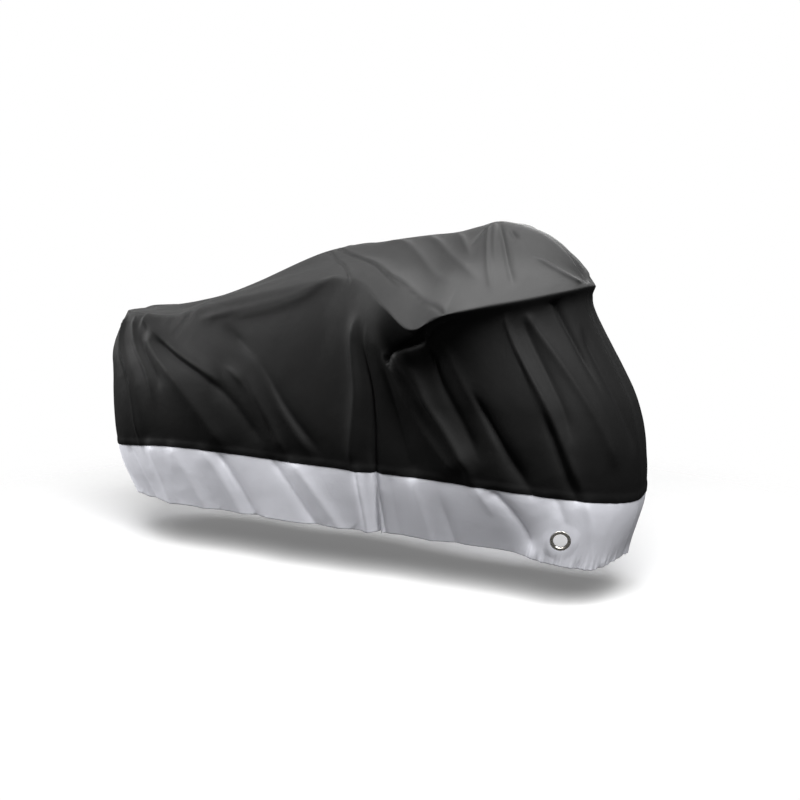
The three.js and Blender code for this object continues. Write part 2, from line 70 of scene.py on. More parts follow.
# %% [markdown]
# ## Where the cloth hangs
# Cloth is easiest to describe on itself. A place on it is `along`, millimetres round the seam between
# the two colours from the middle of the back, and `up`, millimetres from the hem. A few sections say
# where the guide lines hang: hem, seam, waist, the tuck under the shoulder edge, the edge itself, the
# crest and the ridge. The same numbers build the solid model, so both have one shape, but for a
# crisper edge round the tail here.

# %% Sections
# hem, seam, waist, under, edge, crest, ridge: millimetres up the cloth
LEVELS = np.array([0, 220, 450, 650, 720, 880, 1040.0])
SEAM, RIDGE = LEVELS[1], LEVELS[-1]
CROWN_HEIGHT = 1185.0     # top of the crown above the floor, mm
CLOTH = 2.0               # thickness of the solid model's cloth, mm

SECTION_NAMES = ["rear centre", "rear corner", "rear quarter", "tail side", "slope foot", "slope",
                 "slope head", "pocket tip", "hood wing", "hood side", "hood shoulder", "brow side",
                 "front corner", "front centre"]
# forward of the crown, out from the centre, height above the floor, in mm, a row for each section
GUIDE = {
    "hem": [(-1492, 0, 200), (-1455, 122, 182), (-1340, 220, 171), (-1150, 260, 168), (-900, 252, 168),
            (-650, 268, 168), (-390, 240, 170), (-230, 232, 170), (-110, 228, 170), (20, 226, 170),
            (160, 222, 170), (310, 228, 150), (402, 140, 128), (436, 0, 138)],
    "seam": [(-1575, 0, 330), (-1535, 135, 340), (-1410, 248, 360), (-1180, 288, 385), (-920, 285, 388),
             (-650, 288, 386), (-380, 285, 386), (-210, 288, 388), (-90, 292, 390), (50, 294, 389),
             (200, 292, 382), (370, 250, 372), (462, 138, 352), (495, 0, 340)],
    "waist": [(-1595, 0, 580), (-1555, 130, 580), (-1440, 225, 590), (-1200, 258, 600), (-930, 262, 610),
              (-660, 268, 615), (-400, 272, 620), (-235, 280, 620), (-110, 288, 620), (30, 290, 620),
              (175, 285, 620), (342, 232, 620), (427, 127, 620), (460, 0, 620)],
    "edge": [(-1532, 0, 820), (-1520, 80, 824), (-1462, 122, 822), (-1270, 135, 822), (-1080, 142, 874),
             (-690, 155, 961), (-450, 172, 990), (-268, 288, 926), (-120, 368, 864), (-20, 358, 908),
             (86, 300, 937), (198, 210, 961), (290, 98, 984), (312, 0, 992)],
    "ridge": [(-1500, 0, 826), (-1480, 0, 830), (-1420, 0, 838), (-1250, 0, 866), (-1040, 0, 922),
              (-690, 0, 1062), (-430, 0, 1109), (-270, 0, 1133), (-160, 0, 1146), (-75, 0, 1167),
              (10, 0, 1185), (140, 0, 1156), (235, 0, 1092), (290, 0, 1015)],
}
# tuck in below the edge, drop to the tuck, puff of the crest, crispness of the edge
TUCK_DROP_PUFF_CRISP = [
    (-40, 80, 0, 0.9), (-40, 80, 0, 0.95), (-38, 80, 0, 0.95), (-35, 70, 0, 0.9), (-35, 80, 4, 0.6),
    (-40, 90, 6, 0.4), (-40, 90, 6, 0.8), (0, 75, 10, 0.9), (66, 50, 12, 0.95), (66, 48, 15, 0.9),
    (34, 55, 18, 0.9), (14, 50, 18, 0.9), (12, 45, 10, 0.9), (10, 45, 0, 0.8)]
LAST = len(SECTION_NAMES) - 1
SIDES = (("right", False), ("left", True))
print(len(SECTION_NAMES), "sections")

# %% [markdown]
# ## Smooth curves through the sections
# Between two sections the cloth is carried by a curve that passes through every row of a table. Where
# the loop crosses the middle of the cover, the next row is its own neighbour on the other side, so
# both halves meet without a kink.

# %% Curves between sections
def smooth(x):
    """Rises from 0 to 1 as x does, three x squared less two x cubed, and is flat at both ends."""
    x = np.clip(x, 0.0, 1.0)
    return x * x * (3.0 - 2.0 * x)


def unit(vectors):
    """Vectors over their own length."""
    return vectors / np.maximum(np.linalg.norm(vectors, axis=-1, keepdims=True), 1e-12)


def through(rows, t):
    """Curve through the rows of a table at t, counted in rows: the cubic that leaves each row with
    half the difference of its two neighbours."""
    i = np.clip(np.floor(t).astype(int), 0, len(rows) - 4)
    f = (t - i)[..., None]
    a, b, c, d = rows[i], rows[i + 1], rows[i + 2], rows[i + 3]
    return 0.5 * (2 * b + (c - a) * f + (2 * a - 5 * b + 4 * c - d) * f ** 2
                  + (3 * b - a - 3 * c + d) * f ** 3)


def around(table, flip=1.0):
    """A table with its neighbours across the centre added, each times the flip."""
    rows = np.array(table, float)
    return np.vstack([rows[1] * flip, rows, rows[-2] * flip])


def along_centre(table):
    """A table of points along the centre, carried on in a straight line past its ends."""
    rows = np.array(table, float)
    return np.vstack([2 * rows[0] - rows[1], rows, 2 * rows[-1] - rows[-2]])


FLIP = np.array([1.0, -1.0, 1.0])      # turns a point's y over
LOOP = {name: around(table, FLIP) for name, table in GUIDE.items() if name != "ridge"}
LOOP["ridge"] = along_centre(GUIDE["ridge"])
LOOP["shape"] = around(TUCK_DROP_PUFF_CRISP)

steps = np.linspace(0.0, LAST, 2201)
seam_points = through(LOOP["seam"], steps)
seam_lengths = np.concatenate([[0.0], np.cumsum(np.linalg.norm(np.diff(seam_points, axis=0), axis=1))])
HALF_ROUND = seam_lengths[-1]
print("half way round the seam:", round(HALF_ROUND, 1), "mm")

# %% [markdown]
# ## The smooth drape
# Up the cloth, a second set of curves runs through the guide points of a section. Each piece of it is
# a cubic that keeps the slope of its neighbours, except at the shoulder edge, where a crisp crease
# lets the slope break, and at the ridge, where the two halves roll over into each other.

# %% Guide points
NUDGE = 0.001             # how far apart, in sections, two places tell the edge's direction


def guide_points(t):
    """The seven guide points at section parameter t. The tuck lies below the edge and inwards from
    it, along the edge line's own sideways direction. The crest is half way from edge to ridge, lifted
    by its puff."""
    edge, ridge = through(LOOP["edge"], t), through(LOOP["ridge"], t)
    tuck, drop, puff, crisp = np.moveaxis(through(LOOP["shape"], t), -1, 0)
    ahead, behind = np.clip(t + NUDGE, 0, LAST), np.clip(t - NUDGE, 0, LAST)
    run = through(LOOP["edge"], ahead) - through(LOOP["edge"], behind)
    away = unit(np.stack([-run[..., 1], run[..., 0]], -1))
    under = edge - np.stack([away[..., 0] * tuck, away[..., 1] * tuck, drop], -1)
    crest = 0.5 * (edge + ridge) + np.stack([0 * puff, 0 * puff, puff], -1)
    lower = [through(LOOP[name], t) for name in ("hem", "seam", "waist")]
    return np.stack(lower + [under, edge, crest, ridge]), crisp[..., None]


print("heights at the hood:", np.round(guide_points(np.array([9.0]))[0][:, 0, 2]).tolist(), "mm")

# %% Drape
RIDGE_ROLL = 0.75         # share of the slope that is taken away where the halves meet
EDGE_LEVEL = 4            # the edge's place among the levels


def drape(along, up):
    """Point of the smooth cloth: the cubic between two guide points that has the mean slope of both
    sides at each, broken at the edge by its crispness and levelled at the ridge by its roll."""
    points, crisp = guide_points(np.interp(along, seam_lengths, steps))
    rise = np.diff(LEVELS).reshape(-1, *[1] * (points.ndim - 1))
    slopes = np.diff(points, axis=0) / rise
    mean = (slopes[:-1] * rise[1:] + slopes[1:] * rise[:-1]) / (rise[1:] + rise[:-1])
    top = slopes[-1:] * np.array([1.0, 1.0, 1.0 - RIDGE_ROLL])
    from_below = np.concatenate([slopes[:1], mean, top])
    from_above = from_below.copy()
    from_below[EDGE_LEVEL] = (1 - crisp) * from_below[EDGE_LEVEL] + crisp * slopes[EDGE_LEVEL - 1]
    from_above[EDGE_LEVEL] = (1 - crisp) * from_above[EDGE_LEVEL] + crisp * slopes[EDGE_LEVEL]
    i = np.clip(np.searchsorted(LEVELS, up, side="right") - 1, 0, len(LEVELS) - 2)
    pick = lambda stack, k: np.take_along_axis(stack, k[None, ..., None], 0)[0]
    height = (LEVELS[i + 1] - LEVELS[i])[..., None]
    f = (up - LEVELS[i])[..., None] / height
    return ((2 * f ** 3 - 3 * f ** 2 + 1) * pick(points, i)
            + (f ** 3 - 2 * f ** 2 + f) * height * pick(from_above, i)
            + (3 * f ** 2 - 2 * f ** 3) * pick(points, i + 1)
            + (f ** 3 - f ** 2) * height * pick(from_below, i + 1))


def outward(surface, along, up, reach=2.0):
    """Unit direction out of a surface: the cross product of its steps along and up, turned round."""
    a = surface(np.minimum(along + reach, HALF_ROUND), up) - surface(np.maximum(along - reach, 0), up)
    u = surface(along, np.minimum(up + reach, RIDGE)) - surface(along, np.maximum(up - reach, 0))
    return unit(-np.cross(a, u))


crown = drape(np.array([HALF_ROUND * 0.81]), np.array([RIDGE]))[0]
print("a point of the ridge near the crown:", np.round(crown, 1).tolist())

# %% [markdown]
# ## Folds
# A fold of hanging cloth is a line of pull. It starts where something holds the cloth up, such as a
# corner of the hood, and fades into the loose part. So each fold is a row of a table: where its line
# starts and ends on the cloth, how it bends, how wide and how high it is. A ridge or trough is a
# narrow crest with hollow flanks. A step stands proud on one side of its line only, as a pleat does.

# %% Fold tables
# along, up at the start, along, up at the end, bend, width at start and end, depth, step,
# roundness, fade in, fade out
RIGHT_FOLDS = [
    # fan of pulls from the tail corner
    (252, 712, 440, 160, 30, 7, 14, 14, 0, 3, .06, .25),
    (330, 712, 500, 350, 25, 7, 13, 9, 0, 3, .08, .30),
    (405, 660, 530, 400, 11, 8, 14, -8, 0, 3, .20, .30),
    (395, 714, 800, 455, 20, 14, 40, 18, 0, 2.5, .05, .12),
    (490, 655, 990, 255, 16, 14, 26, -12, 0, 5, .15, .15),
    (440, 680, 850, 210, -22, 18, 40, 14, 0, 12, .10, .15),
    (835, 525, 1090, 225, 18, 12, 24, 11, 0, 6, .20, .20),
    (880, 500, 1050, 270, 4, 7, 12, -8, 0, 3, .20, .25),
    (915, 600, 1200, 230, -5, 11, 24, 12, 0, 6, .20, .20),
    (870, 655, 1240, 235, -9, 10, 22, -11, 0, 5, .15, .20),
    # the lower edge of the seat
    (760, 684, 1300, 746, -27, 10, 14, 6, 0, 3, .15, .15),
    (890, 664, 1190, 702, -10, 8, 10, 4, 0, 3, .20, .20),
    # the upright fold at the middle
    (1432, 660, 1346, 190, -20, 16, 24, 18, 0, 10, .15, .20),
    (1458, 640, 1430, -20, -13, 8, 11, -22, 0, 2.5, .35, .01),
    (1468, 640, 1468, 330, -15, 8, 10, 5, 0, 3, .20, .30),
    (1495, 600, 1590, 200, -7, 14, 26, -12, 0, 8, .25, .15),
    # creases that run from the ridge to the corner of the hood
    (1085, 1045, 1352, 706, -14, 22, 30, 15, .5, 5, .06, .16),
    (1130, 1030, 1560, 804, -50, 24, 34, 14, .6, 5, .06, .20),
    (1440, 822, 1800, 724, 36, 26, 34, 13, .6, 5, .25, .05),
    # the pocket under the hood's corner
    (1523, 560, 1668, 706, 12, 20, 38, 34, .1, 4, .03, .10),
    (1900, 695, 1522, 563, -48, 24, 34, 30, .22, 5, .40, .10),
    # pulls over the hood from its crown
    (1330, 1050, 1831, 800, -10, 12, 20, 10, 0, 5, .06, .35),
    (1490, 1040, 1938, 789, 5, 10, 15, 11, 0, 4, .06, .30),
    (1640, 1040, 1833, 897, 0, 9, 13, 10, 0, 4, .06, .35),
    (1790, 940, 1850, 1005, 8, 6, 6, -7, 0, 2.5, .30, .20),
    (1862, 1020, 1990, 750, -15, 7, 10, 7, 0, 2.5, .10, .25),
    (1915, 1035, 2068, 762, -2, 9, 12, -8, 0, 3, .06, .20),
    (1890, 1035, 1960, 840, 0, 12, 16, 6, 0, 5, .06, .40),
    (1975, 1000, 2165, 880, -12, 8, 10, -9, 0, 2.5, .15, .25),
    (2005, 965, 2345, 768, -2, 9, 13, 9, 0, 3, .10, .15),
    # fans that hang from the corner of the hood
    (1530, 590, 1770, 230, -31, 14, 32, 16, 0, 6, .08, .15),
    (1545, 600, 1820, 225, 5, 13, 30, 26, 0, 4, .05, .20),
    (1640, 650, 1840, 280, -4, 12, 22, -14, 0, 6, .15, .25),
    (1740, 665, 1920, 290, -11, 12, 24, 8, 0, 6, .15, .25),
    (1815, 505, 2020, 190, -6, 14, 24, -26, 0, 5, .20, .35),
    # long folds of the front
    (2034, 680, 2036, 480, 3, 5, 8, -6, 0, 2, .15, .40),
    (2040, 680, 2175, 205, -36, 8, 16, 14, 0, 3, .08, .20),
    (2040, 475, 2150, 195, -10, 8, 14, -18, 0, 3, .25, .30),
    (2105, 650, 2120, 360, -3, 10, 20, -10, 0, 5, .15, .30),
    (2112, 665, 2292, 300, -11, 9, 20, 11, 0, 4, .10, .20),
    (2195, 690, 2300, 290, -5, 9, 22, 5, 0, 4, .10, .25),
    (2200, 690, 2282, 470, 0, 8, 14, -18, 0, 2.5, .08, .40),
    (2300, 600, 2398, 340, -12, 14, 22, -14, 0, 6, .15, .20),
    # folds of the silver band
    (120, 250, 260, -20, -6, 14, 20, 9, 0, 10, .20, .01),
    (330, 250, 400, -20, 0, 16, 24, -8, 0, 14, .25, .01),
    (467, 260, 520, -20, 0, 16, 26, 11, 0, 14, .25, .01),
    (560, 240, 690, -20, 6, 18, 26, 8, 0, 14, .20, .01),
    (755, 240, 930, -20, 8, 12, 18, -11, 0, 10, .25, .01),
    (700, 240, 860, -20, 8, 16, 24, 9, 0, 14, .25, .01),
    (980, 250, 1195, -20, 6, 12, 16, -11, 0, 10, .25, .01),
    (1080, 240, 1290, -20, 6, 16, 24, 9, 0, 14, .20, .01),
    (1362, 260, 1388, -20, 4, 16, 20, 15, 0, 7, .20, .01),
    (1452, -20, 1418, 300, 0, 30, 22, 12, .9, 4, .01, .25),
    (1480, 240, 1520, -20, 0, 18, 22, -6, 0, 12, .25, .01),
    (1560, 240, 1640, -20, 0, 14, 20, 7, 0, 10, .25, .01),
    (1770, 270, 1880, 110, 0, 16, 18, 9, 0, 9, .20, .60),
    (1850, 215, 2040, 10, 10, 12, 20, -15, 0, 6, .12, .25),
    (1655, 215, 1732, -20, 0, 12, 18, -7, 0, 9, .65, .01),
    (2150, 240, 2260, -10, 8, 14, 24, 8, 0, 12, .20, .02),
    (2060, 235, 2150, 60, 4, 12, 20, -6, 0, 10, .20, .30),
]
LEFT_FOLDS = [
    (240, 710, 520, 150, -10, 12, 26, 10, 0, 6, .10, .30),
    (300, 700, 560, 260, -8, 12, 26, -8, 0, 8, .10, .30),
    (420, 700, 900, 200, 16, 24, 42, 14, 0, 10, .12, .25),
    (400, 600, 760, 100, 10, 22, 40, -12, 0, 12, .18, .25),
    (640, 640, 1040, 40, 20, 18, 32, -12, 0, 8, .15, .08),
    (700, 720, 1150, 60, 20, 16, 30, 13, 0, 7, .12, .08),
    (820, 700, 1230, 160, 16, 14, 30, -9, 0, 8, .15, .25),
    (520, 320, 560, -20, 0, 16, 24, 9, 0, 8, .30, .01),
    (900, 280, 1010, -20, 6, 14, 22, 8, 0, 8, .30, .01),
    (1300, 720, 1240, -20, 8, 24, 30, 11, 0, 12, .20, .01),
    (1350, 700, 1290, -20, 6, 14, 20, -9, 0, 10, .20, .01),
    (1400, 660, 1350, -20, 0, 20, 22, 7, 0, 12, .20, .01),
    (1060, 985, 1330, 735, 0, 18, 24, -11, 0, 8, .10, .15),
    (1130, 1060, 1350, 725, 0, 16, 22, 8, 0, 5, .05, .10),
    (1180, 1050, 1770, 745, -20, 30, 48, 10, 0, 4, .06, .10),
    (1535, 575, 1660, 710, 10, 16, 34, 20, .1, 3, .03, .10),
    (1880, 700, 1540, 585, -44, 20, 34, 22, .42, 3, .40, .05),
    (1330, 1050, 1830, 800, 8, 12, 20, 6, 0, 5, .06, .35),
    (1400, 1050, 1820, 790, 8, 12, 22, -5, 0, 6, .06, .35),
    (1560, 1050, 1900, 810, 0, 10, 18, 6, 0, 5, .06, .35),
    (1700, 1050, 1910, 820, 0, 10, 18, -6, 0, 5, .06, .35),
    (1800, 1040, 1880, 800, 0, 12, 18, 6, 0, 5, .06, .35),
    (1900, 1050, 2010, 780, 0, 10, 16, -9, 0, 4, .04, .25),
    (1980, 1050, 2150, 870, -16, 9, 12, 8, 0, 4, .08, .20),
    (2080, 960, 2310, 800, 12, 10, 14, 6, 0, 4, .15, .15),
    (1550, 600, 1800, 120, 12, 20, 30, 14, 0, 8, .05, .25),
    (1540, 560, 1690, 150, 8, 14, 28, -12, 0, 8, .10, .25),
    (1640, 640, 1980, 80, 24, 18, 32, 13, 0, 8, .08, .15),
    (1700, 640, 1960, 160, 20, 14, 26, -9, 0, 8, .12, .25),
    (1780, 650, 2000, 200, 20, 18, 32, -12, 0, 10, .15, .25),
    (1900, 680, 2100, 220, 16, 14, 30, 9, 0, 8, .10, .30),
    (1990, 690, 2120, 260, 12, 12, 26, 8, 0, 6, .08, .30),
    (2120, 680, 2230, 260, 8, 12, 26, -10, 0, 7, .08, .30),
    (2220, 690, 2300, 280, 6, 12, 24, 6, 0, 7, .08, .30),
    (1700, 230, 1780, -20, 0, 12, 18, 8, 0, 5, .25, .01),
    (1980, 210, 2040, -20, 0, 12, 18, -8, 0, 5, .20, .01),
]
print(len(RIGHT_FOLDS), "folds on the right,", len(LEFT_FOLDS), "on the left")


# %% Height of the folds
def fold_height(fold, along, up):
    """Lift of one fold. Across its bent line it falls off as e to the power of minus the distance
    over the width, rounded near the line. A step stands proud on one side by its share of the depth
    and is sunk on the other by the rest. Along the line it fades in and out."""
    a0, u0, a1, u1, bend, w0, w1, depth, step, soft, fade_in, fade_out = fold
    length = np.hypot(a1 - a0, u1 - u0)
    run_a, run_u = (a1 - a0) / length, (u1 - u0) / length
    share = ((along - a0) * run_a + (up - u0) * run_u) / length
    across = (up - u0) * run_a - (along - a0) * run_u - bend * 4 * share * (1 - share)
    width = w0 + (w1 - w0) * np.clip(share, 0, 1)
    ends = smooth(share / fade_in) * smooth((1 - share) / fade_out)
    if not step:
        distance = np.sqrt(across ** 2 + soft ** 2) - soft
        return depth * np.exp(-distance / width) * ends
    proud = smooth((across + soft) / (2 * soft)) * np.exp(-np.maximum(across, 0) / width)
    sunk = smooth((soft - across) / (2 * soft)) * np.exp(np.minimum(across, 0) / width)
    return depth * (step * proud - (1 - step) * sunk) * ends


LATTICE = 128             # squares along the side of the lattice, which then repeats
SHIFT = 40.0              # squares from its corner to the cloth's zero


def patches(x, y, size, seed):
    """Soft random heights from -1 to 1: random numbers at the corners of squares of the given size in
    mm, blended between them with the smooth step. Each seed gives a pattern of its own."""
    corner = np.random.default_rng(seed).uniform(-1, 1, (LATTICE + 1, LATTICE + 1))
    x, y = x / size + SHIFT, y / size + SHIFT
    i, j = np.floor(x).astype(int) % LATTICE, np.floor(y).astype(int) % LATTICE
    f, g = smooth(x - np.floor(x)), smooth(y - np.floor(y))
    near = corner[i, j] * (1 - f) + corner[i + 1, j] * f
    far = corner[i, j + 1] * (1 - f) + corner[i + 1, j + 1] * f
    return near * (1 - g) + far * g


print("patches at one place:", round(float(patches(np.array(310.0), np.array(90.0), 60.0, 5)), 3))

# %% [markdown]
# ## From folds to real cloth
# Straight rows of folds look drawn with a ruler. Three things break that up: the lines wander a
# little, the whole sheet has faint dents and creases from being folded in its bag, and the stitching
# puckers the cloth near every seam. All of it dies out at the centre seam, where the halves meet.

# %% Crumple and pucker
WANDER, WANDER_LENGTH = 5.0, 150      # how far a fold line strays, and over what length, mm
DENT = 1.1                # height of the soft dents, mm
CREASE = 0.9              # height of the small sharp creases, mm
PUCKER, PUCKER_REACH = 0.9, 16.0      # height and reach of the puckers at a seam, mm
LEFT_SWAY, LEFT_SWAY_LENGTH = 6.0, 900.0    # slow swing of the left side in and out, mm
CENTRE_EASE = 60          # over how many mm all folds die out at the centre


def crumple(along, up, seed):
    """Soft dents, plus creases: the less of a patch's distance from zero is left, the sharper its
    crease. The creases are turned half right, so they don't follow the lattice."""
    x, y = 0.8 * along + 0.6 * up, 0.8 * up - 0.6 * along
    dents = patches(along, up, 95, seed) + 0.5 * patches(x, y, 47, seed + 1)
    creases = 0.5 - np.abs(patches(x, y, 70, seed + 2))
    fine = 0.5 - np.abs(patches(along, up, 34, seed + 3))
    where = smooth(0.5 + 0.9 * patches(along, up, 260, seed + 4))
    return DENT * dents + CREASE * (creases + 0.5 * fine) * where


def pucker(along, distance, seed):
    """Small waves across a seam that die out with the distance from it, uneven along the seam."""
    waves = patches(along, 0 * along, 17, seed) + 0.6 * patches(along, 0 * along, 8, seed + 1)
    return PUCKER * waves * np.exp(-np.abs(distance) / PUCKER_REACH)


def folds_height(left, along, up):
    """All lifts of one side together, in mm out of the cloth."""
    a = along + WANDER * patches(along, up, WANDER_LENGTH, 11 + left)
    u = up + WANDER * patches(along, up, WANDER_LENGTH, 21 + left)
    total = sum(fold_height(fold, a, u) for fold in (LEFT_FOLDS if left else RIGHT_FOLDS))
    if left:
        total = total + LEFT_SWAY * np.sin(2 * np.pi * along / LEFT_SWAY_LENGTH)
    total = total + crumple(along, up, 31 + 10 * left) + pucker(along, up - SEAM, 51 + left)
    return (total * smooth(along / CENTRE_EASE) * smooth((HALF_ROUND - along) / CENTRE_EASE)
            * smooth((RIDGE - up) / CENTRE_EASE))


test = folds_height(False, np.linspace(0, HALF_ROUND, 400)[:, None], np.linspace(0, RIDGE, 200)[None])
print("folds reach from", round(float(test.min()), 1), "to", round(float(test.max()), 1), "mm")

# %% [markdown]
# ## The cloth lies flat at the eyelet
# A metal eyelet squeezes the cloth between two rings, so the band is flat there. The plane through
# the eyelet is taken from the folded cloth itself, and the cloth is eased onto it within a few
# centimetres.

# %% Cloth surface
EYELET_ALONG, EYELET_UP = 2117.0, 81.0
EYELET_SPAN = (40, 44)    # how far from it, along and up, the points of its plane are taken, mm
FLAT_RADIUS, EASE_RADIUS = 36.0, 66.0


def folded(left):
    """Surface of one side: the smooth drape plus its folds along the direction out of it."""
    def place(along, up):
        height = folds_height(left, along, up)[..., None]
        return drape(along, up) + outward(drape, along, up) * height
    return place


def eyelet_plane(left):
    """Centre and outward direction of the flat place round the eyelet."""
    surface = folded(left)
    at = lambda a, u: surface(np.array([EYELET_ALONG + a]), np.array([EYELET_UP + u]))[0]
    across, over = EYELET_SPAN
    n = -np.cross(at(across, 0) - at(-across, 0), at(0, over) - at(0, -over))
    return at(0, 0), unit(n)


def cloth(left):
    """Surface of one side with the flat place: near the eyelet a point loses its distance from the
    eyelet's plane, fully inside the inner radius and not at all outside the outer one."""
    surface, (centre, normal) = folded(left), eyelet_plane(left)

    def place(along, up):
        point = surface(along, up)
        radius = np.hypot(along - EYELET_ALONG, up - EYELET_UP)
        share = smooth((EASE_RADIUS - radius) / (EASE_RADIUS - FLAT_RADIUS))[..., None]
        return point - share * ((point - centre) @ normal)[..., None] * normal
    return place


def turned(vectors, left):
    """Directions as the table has them, which is the left side, or with y turned over for the right."""
    return vectors if left else vectors * FLIP


def to_frame(points, left):
    """Millimetres above the floor to metres in the part's frame, on the right or left side."""
    return turned(points - np.array([0.0, 0.0, CROWN_HEIGHT - CLOTH]), left) / 1000.0


for side, left in SIDES:
    print("eyelet", side, "at", np.round(to_frame(eyelet_plane(left)[0], left), 4).tolist())

# %% [markdown]
# ## A grid becomes a mesh
# Every piece of cloth is a grid of points with a face between each four. The grid's own `along` and
# `up`, in metres, are kept as its UV map, so the weave and the stains follow the cloth round every
# fold. The faces are wound so that they point outwards on both sides of the cover.

# %% Grid mesh
def add_mesh(name, points, faces, uv=None, marks=None):
    """Object from points (n, 3) and faces (m, k), with a UV for each point and named point marks."""
    mesh = bpy.data.meshes.new(name)
    corners = faces.shape[1]
    mesh.vertices.add(len(points))
    mesh.vertices.foreach_set("co", np.ascontiguousarray(points, np.float32).ravel())
    mesh.loops.add(faces.size)
    mesh.loops.foreach_set("vertex_index", faces.astype(np.int32).ravel())
    mesh.polygons.add(len(faces))
    mesh.polygons.foreach_set("loop_start", np.arange(0, faces.size, corners, dtype=np.int32))
    if uv is not None:
        layer = mesh.uv_layers.new(name="cloth")
        layer.data.foreach_set("uv", uv[faces.ravel()].astype(np.float32).ravel())
    for key, values in (marks or {}).items():
        mark = mesh.attributes.new(key, "FLOAT", "POINT")
        mark.data.foreach_set("value", values.astype(np.float32).ravel())
    mesh.update(calc_edges=True)
    mesh.validate()
    mesh.shade_smooth()
    piece = bpy.data.objects.new(name, mesh)
    scene.collection.objects.link(piece)
    return piece


def grid_faces(columns, rows, left):
    """Quads between neighbours of a grid, numbered column by column, wound for this side."""
    a = (np.arange(columns - 1)[:, None] * rows + np.arange(rows - 1)).ravel()
    around_quad = np.stack([a, a + 1, a + rows + 1, a + rows], 1)
    return around_quad[:, ::-1] if left else around_quad


print("faces of a grid of 2 by 3:", grid_faces(2, 3, False).tolist())

# %% Steps, area and thickness
VISIBLE_CLOTH = 0.0016    # thickness of the cloth, metres


def spread(*stretches):
    """Places in even steps: each stretch is (end, number of steps), from the last one's end."""
    places = [np.array([float(stretches[0][0])])]
    for end, count in stretches[1:]:
        places.append(np.linspace(places[-1][-1], end, count + 1)[1:])
    return np.concatenate(places)


def area(points):
    """Area of a grid of points: half the cross product of each quad's diagonals, summed."""
    d = points[1:, 1:] - points[:-1, :-1]
    e = points[1:, :-1] - points[:-1, 1:]
    return float(np.linalg.norm(np.cross(d, e), axis=-1).sum() / 2)


def give_thickness(piece):
    """Wall of the cloth, grown inwards from the outer face."""
    wall = piece.modifiers.new("thickness", "SOLIDIFY")
    wall.thickness, wall.offset, wall.use_rim = VISIBLE_CLOTH, -1.0, True


print("even steps:", spread((0,), (10, 2), (40, 3)).tolist())

# %% [markdown]
# ## The two black panels
# A panel runs from the seam over the side and hood to the centre. Its lower edge is turned and laps
# over the silver band, so it stands a little proud there, and the two halves meet in a thin line
# along the centre. The grid is closer where the cloth bends sharply.

# %% Panel grid
CENTRE_GAP = 0.4          # between the two halves, mm


def grid_outward(points, along, up):
    """Unit direction out of a grid of points: the cross product of its slopes along and up, turned
    round."""
    a = np.gradient(points, along[:, 0], axis=0)
    u = np.gradient(points, up[0], axis=1)
    return unit(-np.cross(a, u))


def panel_points(left, columns, rows, lift):
    """Outer face of a panel or band as a grid: the cloth, moved out by lift(along, up). Points on the
    centre line are set half the gap beside it, so that the halves meet evenly."""
    along, up = np.meshgrid(columns, rows, indexing="ij")
    points = cloth(left)(along, up)
    normal = grid_outward(points, along, up)
    centre = (along == 0) | (along == columns[-1]) | (up == RIDGE)
    normal[centre, 1] = 0.0
    points = points + unit(normal) * lift(along, up)[..., None]
    points[centre, 1] = CENTRE_GAP / 2
    return along, up, to_frame(points, left)


print("panels meet", CENTRE_GAP, "mm apart")

# %% [markdown]
# ## Wear on bends, and painted light on the top
# Dust and wear show where cloth bends outwards. The top and the slope of the hood get painted light:
# the black is made paler there, as if lit from above. Both could be painted by hand. Here they are
# worked out at each point and kept as attributes of the mesh, which the materials read, so they stay
# right when a fold moves.

# %% Bend and painted light
BEND_SCALE = 0.013        # metres of dent that count as a full bend


def bentness(points, left):
    """How sharply the cloth bends outwards: how far a point lies out from the mean of its neighbours
    two steps away, over the bend scale."""
    p = np.pad(points, ((2, 2), (2, 2), (0, 0)), mode="edge")
    mean = (p[4:, 2:-2] + p[:-4, 2:-2] + p[2:-2, 4:] + p[2:-2, :-4]) / 4
    n = unit(np.cross(np.gradient(points, axis=0), np.gradient(points, axis=1)))
    return ((points - mean) * n).sum(-1) / BEND_SCALE * (1 if left else -1)


TOP_PAINTED_LIGHT, HOOD_PAINTED_LIGHT = 1.5, 1.35     # light added on the top and the hood's slope, to 1 of black
TOP_FROM, CROWN_FROM = 702.0, 815.0     # up, where the top with painted light and the crown begin, mm
TOP_BORDER, CROWN_BORDER = 30.0, 100.0  # width of their soft borders, mm
# up and along of the hood's long crease
CREASE_LINE = [735, 800, 822, 880, 990], [1773, 1659, 1520, 1296, 1152]


def painted_top_light(along, up):
    """How many times paler the black is painted, as painted light from above: 1 on the sides, more on
    top, and most on the slope of the hood in front of its long crease, below the crown."""
    top = smooth((up - TOP_FROM) / TOP_BORDER)
    hood = smooth((along - np.interp(up, *CREASE_LINE)) / TOP_BORDER + 0.5)
    crown = smooth((up - CROWN_FROM) / CROWN_BORDER)
    return 1.0 + top * (TOP_PAINTED_LIGHT + HOOD_PAINTED_LIGHT * hood * (1.0 - crown))


places = {"side": (1000, 500), "top": (600, 900), "hood": (1900, 760)}
print("bleaching:", {name: round(float(painted_top_light(*place)), 2) for name, place in places.items()})

# %% Black panels
LAP_LOW, LAP_HIGH = 214.0, 226.0        # up, edges of the lap over the band, mm
LAP_LIFT = 2.7            # how far the lap stands off the smooth cloth, mm
LAP_END, LAP_EASE = 242.0, 16.0         # up, where the lift ends, and over what height, mm


def cloth_map(along, up):
    """The grid's own along and up in metres, as its UV map."""
    return np.stack([along, up], -1).reshape(-1, 2) / 1000.0


panels = {}
black_columns = spread((0,), (60, 10), (1300, 176), (1560, 52), (HALF_ROUND, 130))
black_rows = spread((LAP_LOW,), (LAP_HIGH, 4), (250, 4), (680, 58), (760, 14), (RIDGE, 50))


def lap_lift(along, up):
    """The lap stands off the band by its lift and eases back onto the cloth above it."""
    return LAP_LIFT * smooth((LAP_END - up) / LAP_EASE)


